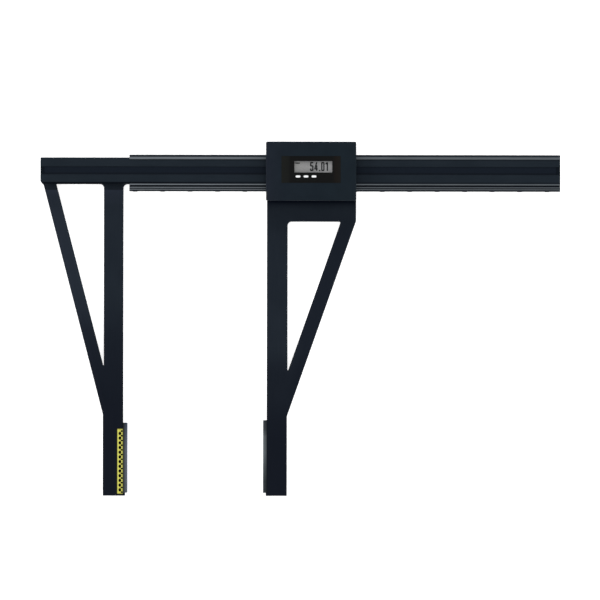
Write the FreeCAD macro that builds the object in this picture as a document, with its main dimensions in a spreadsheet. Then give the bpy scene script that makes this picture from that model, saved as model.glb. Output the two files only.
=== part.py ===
import FreeCAD, Part
import os
import Sketcher

# Digital caliper with long braced jaws, lying on its back.
# X runs along the beam, Y from the jaw tips to the beam, Z out of the display.
# The origin is the centre of the fixed measuring face. Lengths are millimetres.

doc = FreeCAD.newDocument("digital_caliper")
sheet = doc.addObject("Spreadsheet::Sheet", "Sizes")
pieces = []


class Size:
    """A length with its value and the expression that gives it."""

    rows = 0

    def __init__(self, value, text):
        self.value = value
        self.text = text

    def __add__(self, other):
        other = as_size(other)
        return Size(self.value + other.value, "(%s + %s)" % (self.text, other.text))

    def __radd__(self, other):
        return as_size(other) + self

    def __sub__(self, other):
        other = as_size(other)
        return Size(self.value - other.value, "(%s - %s)" % (self.text, other.text))

    def __rsub__(self, other):
        return as_size(other) - self

    def __mul__(self, other):
        other = as_size(other)
        return Size(self.value * other.value, "(%s * %s)" % (self.text, other.text))

    def __rmul__(self, other):
        return as_size(other) * self

    def __truediv__(self, other):
        other = as_size(other)
        return Size(self.value / other.value, "(%s / %s)" % (self.text, other.text))

    def __neg__(self):
        return Size(-self.value, "(0 - %s)" % self.text)


def as_size(number):
    """A plain number as a Size, and a Size as it is."""
    if isinstance(number, Size):
        return number
    return Size(float(number), "(%s)" % number)


def size(alias, value):
    """A driving dimension: one cell of the sheet with its alias."""
    Size.rows += 1
    cell = "A%d" % Size.rows
    sheet.set(cell, str(value))
    sheet.setAlias(cell, alias)
    return Size(float(value), "Sizes." + alias)


# Beam and its guide rails
beam_length = size("beam_length", 519.5)
beam_height = size("beam_height", 26.6)
beam_depth = size("beam_depth", 15.0)
beam_reach = size("beam_reach", 273.7)
beam_overhang = size("beam_overhang", 87.1)
channel_height = size("channel_height", 8.0)
channel_depth = size("channel_depth", 1.2)
channel_rise = size("channel_rise", 9.7)
chamber_height = size("chamber_height", 7.5)
chamber_depth = size("chamber_depth", 7.8)
chamber_web = size("chamber_web", 3.2)
beam_rear_wall = size("beam_rear_wall", 3.6)
rail_start = size("rail_start", 1.8)
rail_proud = size("rail_proud", 0.6)
rail_inset = size("rail_inset", 0.6)
tongue_depth = size("tongue_depth", 11.0)
upper_rail_height = size("upper_rail_height", 2.9)
upper_rail_lap = size("upper_rail_lap", 2.2)
upper_rail_chamfer = size("upper_rail_chamfer", 1.5)
lower_rail_height = size("lower_rail_height", 7.1)
lower_rail_lap = size("lower_rail_lap", 0.9)
lower_rail_land = size("lower_rail_land", 1.7)
lower_rail_groove = size("lower_rail_groove", 1.9)
lower_rail_groove_depth = size("lower_rail_groove_depth", 1.2)
lower_rail_line = size("lower_rail_line", 0.8)
lower_rail_line_rise = size("lower_rail_line_rise", 1.9)
lower_rail_chamfer = size("lower_rail_chamfer", 0.7)
rail_screw_start = size("rail_screw_start", 5.7)
rail_screw_pitch = size("rail_screw_pitch", 27.45)
rail_screw_margin = size("rail_screw_margin", 5.0)
rail_screw_radius = size("rail_screw_radius", 1.25)
rail_screw_head = size("rail_screw_head", 2.4)
rail_screw_head_height = size("rail_screw_head_height", 1.2)
rail_screw_bite = size("rail_screw_bite", 2.8)
rail_screw_proud = size("rail_screw_proud", 0.4)
scale_width = size("scale_width", 7.2)
scale_thickness = size("scale_thickness", 0.8)
scale_margin = size("scale_margin", 4.0)
plug_length = size("plug_length", 6.0)
plug_clearance = size("plug_clearance", 0.1)

# Jaws and measuring faces
jaw_thickness = size("jaw_thickness", 12.0)
jaw_edge_chamfer = size("jaw_edge_chamfer", 0.5)
tip_drop = size("tip_drop", 38.05)
face_drop = size("face_drop", 35.0)
opening = size("opening", 135.7)
fixed_face_height = size("fixed_face_height", 70.0)
fixed_face_thickness = size("fixed_face_thickness", 4.4)
fixed_leg_width = size("fixed_leg_width", 19.45)
fixed_tip_width = size("fixed_tip_width", 20.3)
fixed_foot_recess = size("fixed_foot_recess", 2.5)
fixed_bar_end = size("fixed_bar_end", 0.9)
fixed_bar_inset = size("fixed_bar_inset", 1.0)
fixed_bar_nose = size("fixed_bar_nose", 2.8)
fixed_brace_head_rise = size("fixed_brace_head_rise", 2.7)
fixed_brace_drop = size("fixed_brace_drop", 0.8)
fixed_brace_foot = size("fixed_brace_foot", 43.5)
fixed_brace_width = size("fixed_brace_width", 12.9)
fixed_root_radius = size("fixed_root_radius", 4.0)
sliding_face_height = size("sliding_face_height", 72.7)
sliding_face_thickness = size("sliding_face_thickness", 3.65)
sliding_leg_width = size("sliding_leg_width", 20.7)
sliding_tip_width = size("sliding_tip_width", 20.2)
sliding_foot_recess = size("sliding_foot_recess", 2.7)
sliding_plate_width = size("sliding_plate_width", 89.2)
sliding_brace_head = size("sliding_brace_head", 36.5)
sliding_brace_foot = size("sliding_brace_foot", 41.6)
sliding_brace_width = size("sliding_brace_width", 15.1)
sliding_window_drop = size("sliding_window_drop", 37.2)
window_radius = size("window_radius", 4.0)
window_small_radius = size("window_small_radius", 1.2)
apex_radius = size("apex_radius", 0.4)
shoulder_radius = size("shoulder_radius", 6.0)
ruler_width = size("ruler_width", 5.8)
ruler_length = size("ruler_length", 65.5)
ruler_thickness = size("ruler_thickness", 0.5)
ruler_drop = size("ruler_drop", 1.3)
ruler_inset = size("ruler_inset", 0.1)

# Carriage
glide_gap = size("glide_gap", 0.1)
seal_gap = size("seal_gap", 0.3)
pad_thickness = size("pad_thickness", 0.8)
rear_relief = size("rear_relief", 1.0)
rear_pad_width = size("rear_pad_width", 5.0)
front_pad_width = size("front_pad_width", 3.6)
lower_pad_thickness = size("lower_pad_thickness", 1.8)
lower_pad_groove = size("lower_pad_groove", 8.0)
lower_pad_groove_depth = size("lower_pad_groove_depth", 0.7)
gib_thickness = size("gib_thickness", 2.4)
gib_depth = size("gib_depth", 11.0)
gib_spring_gap = size("gib_spring_gap", 0.9)
gib_spring_length = size("gib_spring_length", 14.0)
gib_spring_width = size("gib_spring_width", 6.0)
gib_spring_thickness = size("gib_spring_thickness", 0.3)
block_inset = size("block_inset", 1.3)
block_top_inset = size("block_top_inset", 1.05)
block_low_inset = size("block_low_inset", 0.3)
wiper_thickness = size("wiper_thickness", 1.2)
front_plate_thickness = size("front_plate_thickness", 3.0)

# Display cover and what it holds
cover_width = size("cover_width", 90.1)
cover_height = size("cover_height", 58.95)
cover_left = size("cover_left", 2.65)
cover_rise = size("cover_rise", 15.95)
cover_depth = size("cover_depth", 10.5)
cover_wall = size("cover_wall", 2.2)
cover_front_wall = size("cover_front_wall", 2.5)
cover_corner_radius = size("cover_corner_radius", 1.5)
cover_step = size("cover_step", 1.15)
cover_step_rise = size("cover_step_rise", 8.6)
cover_edge_radius = size("cover_edge_radius", 0.8)
gasket_thickness = size("gasket_thickness", 0.5)
gasket_width = size("gasket_width", 1.8)
overlay_width = size("overlay_width", 59.2)
overlay_height = size("overlay_height", 26.8)
overlay_drop = size("overlay_drop", 14.45)
overlay_thickness = size("overlay_thickness", 0.4)
overlay_recess = size("overlay_recess", 0.5)
overlay_clearance = size("overlay_clearance", 0.1)
display_x = size("display_x", 49.9)
display_drop = size("display_drop", 25.25)
display_width = size("display_width", 37.8)
display_height = size("display_height", 11.3)
lens_lap = size("lens_lap", 0.5)
lcd_width = size("lcd_width", 41.0)
lcd_height = size("lcd_height", 15.0)
lcd_thickness = size("lcd_thickness", 1.8)
lcd_frame_wall = size("lcd_frame_wall", 1.2)
lcd_gap = size("lcd_gap", 0.1)
board_thickness = size("board_thickness", 1.6)
board_inset = size("board_inset", 11.2)
board_end_inset = size("board_end_inset", 10.0)
board_edge_gap = size("board_edge_gap", 0.5)
standoff_height = size("standoff_height", 1.0)
standoff_radius = size("standoff_radius", 2.5)
standoff_inset = size("standoff_inset", 3.6)
board_screw_radius = size("board_screw_radius", 1.0)
board_screw_head = size("board_screw_head", 1.9)
board_screw_head_height = size("board_screw_head_height", 1.2)
head_width = size("head_width", 28.0)
head_height = size("head_height", 15.0)
nose_width = size("nose_width", 24.0)
nose_height = size("nose_height", 6.0)
read_gap = size("read_gap", 0.3)

# Keys
key_length = size("key_length", 4.8)
key_height = size("key_height", 2.1)
key_pitch = size("key_pitch", 7.95)
key_x = size("key_x", 42.6)
key_drop = size("key_drop", 34.85)
key_proud = size("key_proud", 0.5)
key_gap = size("key_gap", 0.15)
key_flange_length = size("key_flange_length", 6.2)
key_flange_height = size("key_flange_height", 3.4)
key_flange_thickness = size("key_flange_thickness", 0.8)
key_travel = size("key_travel", 0.8)
membrane_thickness = size("membrane_thickness", 0.5)
membrane_length = size("membrane_length", 23.0)

# Battery
cell_radius = size("cell_radius", 10.0)
cell_thickness = size("cell_thickness", 3.2)
cell_x = size("cell_x", 81.25)
cell_drop = size("cell_drop", 29.2)
tray_floor = size("tray_floor", 0.5)
tray_rim = size("tray_rim", 1.2)
tray_gap = size("tray_gap", 0.1)
tray_guide_width = size("tray_guide_width", 1.4)
tray_guide_height = size("tray_guide_height", 4.0)
tray_lift = size("tray_lift", 0.7)
tray_reach = size("tray_reach", 21.8)
tray_window_radius = size("tray_window_radius", 7.0)
tray_notch_radius = size("tray_notch_radius", 3.0)
tray_notch_depth = size("tray_notch_depth", 0.9)
contact_thickness = size("contact_thickness", 0.3)

# Clamp screw
lock_x = size("lock_x", 48.2)
lock_screw_radius = size("lock_screw_radius", 2.0)
lock_bush_radius = size("lock_bush_radius", 3.6)
lock_pad_radius = size("lock_pad_radius", 2.9)
lock_pad_thickness = size("lock_pad_thickness", 2.2)
lock_pad_gap = size("lock_pad_gap", 0.5)
lock_pocket_width = size("lock_pocket_width", 14.0)
lock_pocket_floor = size("lock_pocket_floor", 3.3)
lock_head_radius = size("lock_head_radius", 5.5)
lock_head_height = size("lock_head_height", 5.2)
lock_head_gap = size("lock_head_gap", 0.75)
lock_running_gap = size("lock_running_gap", 0.05)
knurl_radius = size("knurl_radius", 0.45)
knurl_count = size("knurl_count", 24)

# Fasteners
screw_clearance = size("screw_clearance", 0.1)
jaw_screw_radius = size("jaw_screw_radius", 2.5)
jaw_screw_head = size("jaw_screw_head", 4.25)
jaw_screw_head_height = size("jaw_screw_head_height", 5.0)
jaw_screw_socket = size("jaw_screw_socket", 2.3)
jaw_screw_bite = size("jaw_screw_bite", 3.3)
jaw_screw_pitch = size("jaw_screw_pitch", 35.0)
jaw_screw_inset = size("jaw_screw_inset", 9.1)
jaw_screw_row = size("jaw_screw_row", 13.0)
dowel_radius = size("dowel_radius", 2.0)
counterbore_gap = size("counterbore_gap", 0.4)
face_screw_radius = size("face_screw_radius", 2.0)
face_screw_head = size("face_screw_head", 3.5)
face_screw_head_height = size("face_screw_head_height", 4.0)
face_screw_socket = size("face_screw_socket", 1.7)
face_screw_spacing = size("face_screw_spacing", 44.0)
face_screw_bite = size("face_screw_bite", 2.4)
block_screw_radius = size("block_screw_radius", 2.0)
block_screw_spread = size("block_screw_spread", 44.0)
block_screw_bite = size("block_screw_bite", 8.0)
block_dowel_spread = size("block_dowel_spread", 58.0)
cover_screw_radius = size("cover_screw_radius", 1.5)
cover_screw_head = size("cover_screw_head", 2.75)
cover_screw_head_height = size("cover_screw_head_height", 3.0)
cover_screw_socket = size("cover_screw_socket", 1.45)
cover_screw_inset = size("cover_screw_inset", 7.3)
cover_screw_bite = size("cover_screw_bite", 6.0)
cover_boss_radius = size("cover_boss_radius", 3.2)
plate_screw_radius = size("plate_screw_radius", 1.5)
plate_screw_head = size("plate_screw_head", 2.8)
plate_screw_head_height = size("plate_screw_head_height", 1.3)
plate_screw_length = size("plate_screw_length", 8.0)
plate_screw_spread = size("plate_screw_spread", 50.0)
wiper_screw_radius = size("wiper_screw_radius", 1.0)
wiper_screw_head = size("wiper_screw_head", 1.9)
wiper_screw_head_height = size("wiper_screw_head_height", 0.9)
wiper_screw_length = size("wiper_screw_length", 4.6)
wiper_screw_spacing = size("wiper_screw_spacing", 9.0)
set_screw_radius = size("set_screw_radius", 1.5)
set_screw_length = size("set_screw_length", 7.0)
set_screw_near = size("set_screw_near", 14.0)
set_screw_far = size("set_screw_far", 34.0)

# End stop
stop_width = size("stop_width", 8.0)
stop_height = size("stop_height", 22.0)
stop_thickness = size("stop_thickness", 6.0)
bumper_thickness = size("bumper_thickness", 1.5)
stop_screw_spacing = size("stop_screw_spacing", 12.0)

doc.recompute()

# Levels along Z
jaw_rear = -jaw_thickness / 2
jaw_front = jaw_thickness / 2
beam_rear = jaw_front
beam_front = beam_rear + beam_depth
beam_middle = beam_rear + beam_depth / 2
channel_floor = beam_front - channel_depth
rail_rear = beam_rear + rail_inset
rail_front = beam_front + rail_proud
rail_middle = (rail_rear + rail_front) / 2
tongue_rear = rail_middle - tongue_depth / 2
tongue_front = rail_middle + tongue_depth / 2
plate_rear = rail_front + glide_gap + pad_thickness
plate_front = plate_rear + front_plate_thickness
cover_back = plate_front + gasket_thickness
cover_front = cover_back + cover_depth
cover_ceiling = cover_front - cover_front_wall
overlay_floor = cover_front - overlay_recess
board_rear = cover_back + standoff_height
board_front = board_rear + board_thickness
lcd_front = cover_ceiling - lcd_gap
lcd_rear = lcd_front - lcd_thickness
key_flange_front = cover_ceiling
key_flange_rear = key_flange_front - key_flange_thickness
membrane_front = key_flange_rear - key_travel - glide_gap
membrane_rear = membrane_front - membrane_thickness
tray_rear = board_front + tray_lift
cell_rear = tray_rear + tray_floor
tray_front = cell_rear + cell_thickness
scale_front = channel_floor + scale_thickness

# Levels along Y
beam_low = beam_reach
beam_top = beam_low + beam_height
channel_low = beam_low + channel_rise
channel_top = channel_low + channel_height
channel_centre = (channel_low + channel_top) / 2
rail_top = beam_top + upper_rail_height
rail_low = beam_low - lower_rail_height
upper_lap = beam_top - upper_rail_lap
lower_lap = beam_low + lower_rail_lap
tip_low = -tip_drop
face_low = -face_drop
cover_top = beam_top + cover_rise
cover_low = cover_top - cover_height
upper_block_low = rail_top + glide_gap + gib_thickness + gib_spring_gap
upper_block_top = cover_top - block_top_inset
lower_block_top = rail_low - glide_gap - lower_pad_thickness
lower_block_low = cover_low + block_low_inset
upper_block_centre = (upper_block_low + upper_block_top) / 2
lower_block_centre = (lower_block_low + lower_block_top) / 2
gib_low = rail_top + glide_gap
gib_top = gib_low + gib_thickness
display_y = cover_top - display_drop
key_y = cover_top - key_drop
cell_y = cover_top - cell_drop
lock_floor = upper_block_low + lock_pocket_floor

# Places along X
beam_left = -beam_overhang
beam_right = beam_left + beam_length
sliding_leg_left = opening + sliding_face_thickness
sliding_plate_right = sliding_leg_left + sliding_plate_width
cover_start = opening + cover_left
cover_end = cover_start + cover_width
block_left = cover_start + block_inset
block_right = cover_end - block_inset
block_middle = (block_left + block_right) / 2
board_left = block_left + board_end_inset
board_right = cover_end - cover_wall - board_edge_gap
fixed_leg_right = -fixed_face_thickness
fixed_leg_left = fixed_leg_right - fixed_leg_width
fixed_tip_left = fixed_leg_right - fixed_tip_width
sliding_leg_right = sliding_leg_left + sliding_leg_width
sliding_tip_right = sliding_leg_left + sliding_tip_width
zero = as_size(0)

NORMAL_SIGN = {"XY_Plane": 1, "YZ_Plane": 1, "XZ_Plane": -1}


def start_body(label):
    """A new body, which carries one piece."""
    return doc.addObject("PartDesign::Body", label)


def origin_item(body, role):
    """The body's own origin plane or axis with this role."""
    for item in body.Origin.OriginFeatures:
        if item.Role == role:
            return item
    raise ValueError(role)


def sketch_on(body, role, level=zero):
    """A sketch on one of the body's planes, moved to a level along its third axis."""
    sketch = body.newObject("Sketcher::SketchObject", body.Label + "_sketch")
    sketch.AttachmentSupport = [(origin_item(body, role), "")]
    sketch.MapMode = "FlatFace"
    offset = as_size(level) * NORMAL_SIGN[role]
    sketch.setExpression(".AttachmentOffset.Base.z", offset.text)
    return sketch


def tie(sketch, kind, geometry, point, length):
    """Hold a point of the sketch at a distance from the sketch's origin."""
    constraint = Sketcher.Constraint(kind, -1, 1, geometry, point, length.value)
    number = sketch.addConstraint(constraint)
    sketch.setExpression("Constraints[%d]" % number, length.text)


def polygon(sketch, points):
    """A closed outline through the points, each point tied to its sizes."""
    points = [(as_size(x), as_size(y)) for x, y in points]
    first = sketch.GeometryCount
    count = len(points)
    corners = [FreeCAD.Vector(x.value, y.value, 0) for x, y in points]
    for i in range(count):
        sketch.addGeometry(Part.LineSegment(corners[i], corners[(i + 1) % count]), False)
    for i in range(count):
        following = first + (i + 1) % count
        sketch.addConstraint(Sketcher.Constraint("Coincident", first + i, 2, following, 1))
    for i, (x, y) in enumerate(points):
        tie(sketch, "DistanceX", first + i, 1, x)
        tie(sketch, "DistanceY", first + i, 1, y)


def rectangle(sketch, x_low, y_low, x_high, y_high):
    polygon(sketch, [(x_low, y_low), (x_high, y_low), (x_high, y_high), (x_low, y_high)])


def circle(sketch, x, y, radius):
    x, y = as_size(x), as_size(y)
    centre = FreeCAD.Vector(x.value, y.value, 0)
    up = FreeCAD.Vector(0, 0, 1)
    number = sketch.addGeometry(Part.Circle(centre, up, radius.value), False)
    tie(sketch, "DistanceX", number, 3, x)
    tie(sketch, "DistanceY", number, 3, y)
    constraint = sketch.addConstraint(Sketcher.Constraint("Radius", number, radius.value))
    sketch.setExpression("Constraints[%d]" % constraint, radius.text)


def pill(sketch, x, y, length, height):
    """A slot outline with round ends, centred on x, y."""
    radius = height / 2
    half = length / 2 - radius
    up = FreeCAD.Vector(0, 0, 1)
    left = FreeCAD.Vector((x - half).value, y.value, 0)
    right = FreeCAD.Vector((x + half).value, y.value, 0)
    rise = FreeCAD.Vector(0, radius.value, 0)
    quarter = 1.5707963267948966
    first = sketch.GeometryCount
    right_arc = Part.ArcOfCircle(Part.Circle(right, up, radius.value), -quarter, quarter)
    left_arc = Part.ArcOfCircle(Part.Circle(left, up, radius.value), quarter, 3 * quarter)
    sketch.addGeometry(right_arc, False)
    sketch.addGeometry(Part.LineSegment(right + rise, left + rise), False)
    sketch.addGeometry(left_arc, False)
    sketch.addGeometry(Part.LineSegment(left - rise, right - rise), False)
    for i in range(4):
        following = first + (i + 1) % 4
        sketch.addConstraint(Sketcher.Constraint("Tangent", first + i, 2, following, 1))
    tie(sketch, "DistanceX", first, 3, x + half)
    tie(sketch, "DistanceY", first, 3, y)
    tie(sketch, "DistanceX", first + 2, 3, x - half)
    constraint = sketch.addConstraint(Sketcher.Constraint("Radius", first, radius.value))
    sketch.setExpression("Constraints[%d]" % constraint, radius.text)


def pad(body, sketch, length, back=False):
    """Raise the sketch along its normal, or against it."""
    feature = body.newObject("PartDesign::Pad", body.Label + "_pad")
    feature.Profile = sketch
    feature.setExpression("Length", length.text)
    feature.Reversed = back
    doc.recompute()
    return feature


def pocket(body, sketch, depth, along=False):
    """Cut the sketch against its normal, or along it, and test that it cut."""
    before = body.Shape.Volume
    feature = body.newObject("PartDesign::Pocket", body.Label + "_pocket")
    feature.Profile = sketch
    feature.setExpression("Length", depth.text)
    feature.Reversed = along
    doc.recompute()
    if not feature.Shape.Volume < before - 0.001:
        raise RuntimeError("a pocket in %s cut nothing" % body.Label)
    return feature


def round_edges(body, edges, radius):
    feature = body.newObject("PartDesign::Fillet", body.Label + "_fillet")
    feature.Base = (body.Tip if body.Tip != feature else feature.BaseFeature, edges)
    feature.setExpression("Radius", radius.text)
    doc.recompute()
    return feature


def bevel_edges(body, edges, width):
    feature = body.newObject("PartDesign::Chamfer", body.Label + "_chamfer")
    feature.Base = (body.Tip if body.Tip != feature else feature.BaseFeature, edges)
    feature.setExpression("Size", width.text)
    doc.recompute()
    return feature


def near(a, b):
    return abs(a - b) < 0.02


def upright_edges(body, corners):
    """Names of the straight edges along Z that stand on these corners."""
    names = []
    for number, edge in enumerate(body.Shape.Edges, 1):
        low, high = edge.Vertexes[0].Point, edge.Vertexes[-1].Point
        if not (near(low.x, high.x) and near(low.y, high.y)) or near(low.z, high.z):
            continue
        for x, y in corners:
            if near(low.x, as_size(x).value) and near(low.y, as_size(y).value):
                names.append("Edge%d" % number)
    return names


def level_edges(body, *levels):
    """Names of the edges that lie at one of these levels along Z."""
    names = []
    for number, edge in enumerate(body.Shape.Edges, 1):
        for level in levels:
            if all(near(vertex.Z, level.value) for vertex in edge.Vertexes):
                names.append("Edge%d" % number)
    return names


def place(piece, x, y, z, axis=None, angle=0):
    """Turn a piece and tie its place to the sizes."""
    if axis:
        turn = FreeCAD.Rotation(FreeCAD.Vector(*axis), angle)
        piece.Placement = FreeCAD.Placement(FreeCAD.Vector(), turn)
    for name, value in (("x", x), ("y", y), ("z", z)):
        piece.setExpression("Placement.Base." + name, as_size(value).text)


def keep(piece):
    """Add a finished piece to the list that is written out."""
    pieces.append(piece)
    return piece


def plate(label, x_low, y_low, z_low, x_high, y_high, z_high):
    """A body padded from a rectangle between two levels of Z."""
    body = start_body(label)
    sketch = sketch_on(body, "XY_Plane", z_low)
    rectangle(sketch, x_low, y_low, x_high, y_high)
    pad(body, sketch, as_size(z_high) - z_low)
    return body


def drill(body, role, level, centres, radius, depth, along=False):
    """Round holes of one size from one level of the piece."""
    sketch = sketch_on(body, role, level)
    for x, y in centres:
        circle(sketch, x, y, radius)
    return pocket(body, sketch, depth, along)


def turned(label, profile):
    """A body turned about Z from a half profile of (radius, height) points."""
    body = start_body(label)
    sketch = sketch_on(body, "XZ_Plane")
    polygon(sketch, profile)
    feature = body.newObject("PartDesign::Revolution", label + "_turned")
    feature.Profile = sketch
    feature.ReferenceAxis = (sketch, ["V_Axis"])
    feature.Angle = 360
    doc.recompute()
    return body


def cap_screw(label, radius, length, head_radius, head_height, socket):
    """A socket head screw, its seat at the origin and its head towards +Z."""
    profile = [(0, -length), (radius, -length), (radius, 0), (head_radius, 0),
               (head_radius, head_height), (0, head_height)]
    body = turned(label, profile)
    sketch = sketch_on(body, "XY_Plane", head_height)
    hexagon(sketch, socket)
    pocket(body, sketch, head_height / 2)
    return body


def flush_screw(label, radius, length, head_radius, head_height, proud=None):
    """A countersunk screw, its head's flat at the origin facing +Z."""
    profile = [(0, -length), (radius, -length), (radius, -head_height), (head_radius, 0)]
    if proud is not None:
        profile += [(head_radius, proud)]
        profile += [(0, proud)]
    else:
        profile += [(0, 0)]
    return turned(label, profile)


def hexagon(sketch, corner):
    """A hexagon about the sketch's origin, by its corner distance."""
    side = corner * 0.8660254
    points = [(corner, zero), (corner / 2, side), (-corner / 2, side),
              (-corner, zero), (-corner / 2, -side), (corner / 2, -side)]
    polygon(sketch, points)


REAR = ((1, 0, 0), 180)
TOP = ((1, 0, 0), -90)
BOTTOM = ((1, 0, 0), 90)
LEFT = ((0, 1, 0), -90)
RIGHT = ((0, 1, 0), 90)
FRONT = (None, 0)


def copies(label, pattern_piece, places, heading):
    """One node with a copy of the same piece at each place, its head to one side."""
    axis, angle = heading
    links = []
    for x, y, z in places:
        link = doc.addObject("App::Link", label + "_copy")
        link.LinkedObject = pattern_piece
        place(link, x, y, z, axis, angle)
        links.append(link)
    group = doc.addObject("Part::Compound", label)
    group.Links = links
    doc.recompute()
    return group


def row_along_beam(body):
    """Repeat a body's turned feature at the rail screws' pitch."""
    body.AllowCompound = True
    first = body.Tip
    row = body.newObject("PartDesign::LinearPattern", body.Label + "_row")
    row.Originals = [first]
    row.Direction = (origin_item(body, "X_Axis"), [""])
    row.Mode = "Spacing"
    row.setExpression("Offset", rail_screw_pitch.text)
    run = beam_right - rail_start - rail_screw_start - rail_screw_margin
    row.setExpression("Occurrences", "floor(%s) + 1" % (run / rail_screw_pitch).text)
    body.Tip = row
    doc.recompute()
    return body


def subtract(label, base, *tools):
    """The base piece with the tools' shapes cut out of it."""
    for number, tool in enumerate(tools):
        base.Label = "%s_blank_%d" % (label, number)
        cut = doc.addObject("Part::Cut", label)
        cut.Base = base
        cut.Tool = tool
        base = cut
    base.Label = label
    doc.recompute()
    return base


def rail_screw_row(label, y, heading, length, clearance, proud=None):
    """A row of rail screws, or with a clearance the holes that take them."""
    axis, angle = heading
    body = flush_screw(label, rail_screw_radius + clearance, length + clearance,
                       rail_screw_head, rail_screw_head_height, proud)
    row_along_beam(body)
    place(body, rail_start + rail_screw_start, y, rail_middle, axis, angle)
    doc.recompute()
    return body


def make_beam():
    """The extruded beam, its rails, their screws, the scale and the end plugs."""
    body = start_body("beam_profile")
    sketch = sketch_on(body, "YZ_Plane", beam_left)
    polygon(sketch, [(beam_low, beam_rear), (beam_top, beam_rear), (beam_top, beam_front),
                     (channel_top, beam_front), (channel_top, channel_floor),
                     (channel_low, channel_floor), (channel_low, beam_front),
                     (beam_low, beam_front)])
    middle = (beam_low + beam_top) / 2
    chamber_rear = beam_rear + beam_rear_wall
    chamber_front = chamber_rear + chamber_depth
    half_web = chamber_web / 2
    rectangle(sketch, middle - half_web - chamber_height, chamber_rear,
              middle - half_web, chamber_front)
    rectangle(sketch, middle + half_web, chamber_rear,
              middle + half_web + chamber_height, chamber_front)
    pad(body, sketch, beam_length)

    # The left end's lower corner follows the outer line of the fixed jaw's brace
    cut = fixed_bar_nose * fixed_brace_head_rise / (fixed_brace_head_rise + fixed_brace_drop)
    sketch = sketch_on(body, "XY_Plane", beam_rear)
    polygon(sketch, [(beam_left, beam_low), (beam_left + cut, beam_low),
                     (beam_left, beam_low + fixed_brace_head_rise)])
    pocket(body, sketch, beam_depth, along=True)

    # Rebates that seat the rails on both edges, from the closed position on
    sketch = sketch_on(body, "YZ_Plane", rail_start)
    rectangle(sketch, upper_lap, tongue_front, beam_top, beam_front)
    rectangle(sketch, upper_lap, beam_rear, beam_top, tongue_rear)
    rectangle(sketch, beam_low, tongue_front, lower_lap, beam_front)
    rectangle(sketch, beam_low, beam_rear, lower_lap, tongue_rear)
    pocket(body, sketch, beam_right - rail_start, along=True)

    # Threads of the jaw screws, the dowels and the end stop in the rear wall
    jaw_holes = [(x, y) for x, y, z in fixed_jaw_screw_places()]
    drill(body, "XY_Plane", beam_rear, jaw_holes, jaw_screw_radius + screw_clearance,
          jaw_screw_bite, along=True)
    dowel_holes = [(x, y) for x, y, z in fixed_jaw_dowel_places()]
    drill(body, "XY_Plane", beam_rear, dowel_holes, dowel_radius, jaw_screw_bite, along=True)
    stop_holes = [(x, y) for x, y, z in stop_screw_places()]
    drill(body, "XY_Plane", beam_rear, stop_holes, plate_screw_radius + screw_clearance,
          jaw_screw_bite, along=True)

    rail_length = beam_right - rail_start
    upper = start_body("upper_rail_profile")
    sketch = sketch_on(upper, "YZ_Plane", rail_start)
    polygon(sketch, [(upper_lap, rail_rear), (rail_top, rail_rear),
                     (rail_top, rail_front - upper_rail_chamfer),
                     (rail_top - upper_rail_chamfer, rail_front),
                     (upper_lap, rail_front), (upper_lap, tongue_front),
                     (beam_top, tongue_front), (beam_top, tongue_rear),
                     (upper_lap, tongue_rear)])
    pad(upper, sketch, rail_length)

    lower = start_body("lower_rail_profile")
    sketch = sketch_on(lower, "YZ_Plane", rail_start)
    groove_top = lower_lap - lower_rail_land
    groove_low = groove_top - lower_rail_groove
    groove_floor = rail_front - lower_rail_groove_depth
    line_low = rail_low + lower_rail_line_rise
    line_top = line_low + lower_rail_line
    line_floor = rail_front - lower_rail_line
    polygon(sketch, [(lower_lap, rail_rear), (lower_lap, tongue_rear),
                     (beam_low, tongue_rear), (beam_low, tongue_front),
                     (lower_lap, tongue_front), (lower_lap, rail_front),
                     (groove_top, rail_front), (groove_top, groove_floor),
                     (groove_low, groove_floor), (groove_low, rail_front),
                     (line_top, rail_front), (line_top, line_floor),
                     (line_low, line_floor), (line_low, rail_front),
                     (rail_low + lower_rail_chamfer, rail_front),
                     (rail_low, rail_front - lower_rail_chamfer), (rail_low, rail_rear)])
    pad(lower, sketch, rail_length)

    upper_length = upper_rail_height + rail_screw_bite
    lower_length = lower_rail_height + rail_screw_bite
    keep(rail_screw_row("upper_rail_screws", rail_top, TOP, upper_length, zero))
    keep(rail_screw_row("lower_rail_screws", rail_low, BOTTOM, lower_length, zero,
                        rail_screw_proud))
    upper_holes = rail_screw_row("upper_rail_holes", rail_top, TOP, upper_length,
                                 screw_clearance)
    lower_holes = rail_screw_row("lower_rail_holes", rail_low, BOTTOM, lower_length,
                                 screw_clearance)
    keep(subtract("upper_guide_rail", upper, upper_holes))
    keep(subtract("lower_guide_rail", lower, lower_holes))
    keep(subtract("beam_extrusion", body, upper_holes, lower_holes))

    keep(plate("scale_strip", beam_left + scale_margin, channel_centre - scale_width / 2,
               channel_floor, beam_right - scale_margin, channel_centre + scale_width / 2,
               scale_front))

    plug = start_body("end_plug")
    sketch = sketch_on(plug, "YZ_Plane")
    rectangle(sketch, plug_clearance, plug_clearance,
              chamber_height - plug_clearance, chamber_depth - plug_clearance)
    pad(plug, sketch, plug_length)
    chamber_lows = [middle - half_web - chamber_height, middle + half_web]
    spots = [(x, y, chamber_rear) for x in (beam_left, beam_right - plug_length)
             for y in chamber_lows]
    keep(copies("beam_end_plugs", plug, spots, FRONT))


def fixed_jaw_screw_places():
    """Zigzag of screws in the fixed jaw's bar, as seats on the plate's counterbores."""
    middle = (beam_low + beam_top) / 2
    seat = jaw_rear + jaw_screw_head_height + counterbore_gap
    spots = []
    for column in range(3):
        x = beam_left + jaw_screw_inset + jaw_screw_pitch * column
        for side in (-1, 1):
            spots.append((x, middle + jaw_screw_row / 2 * side, seat))
    return spots


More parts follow.
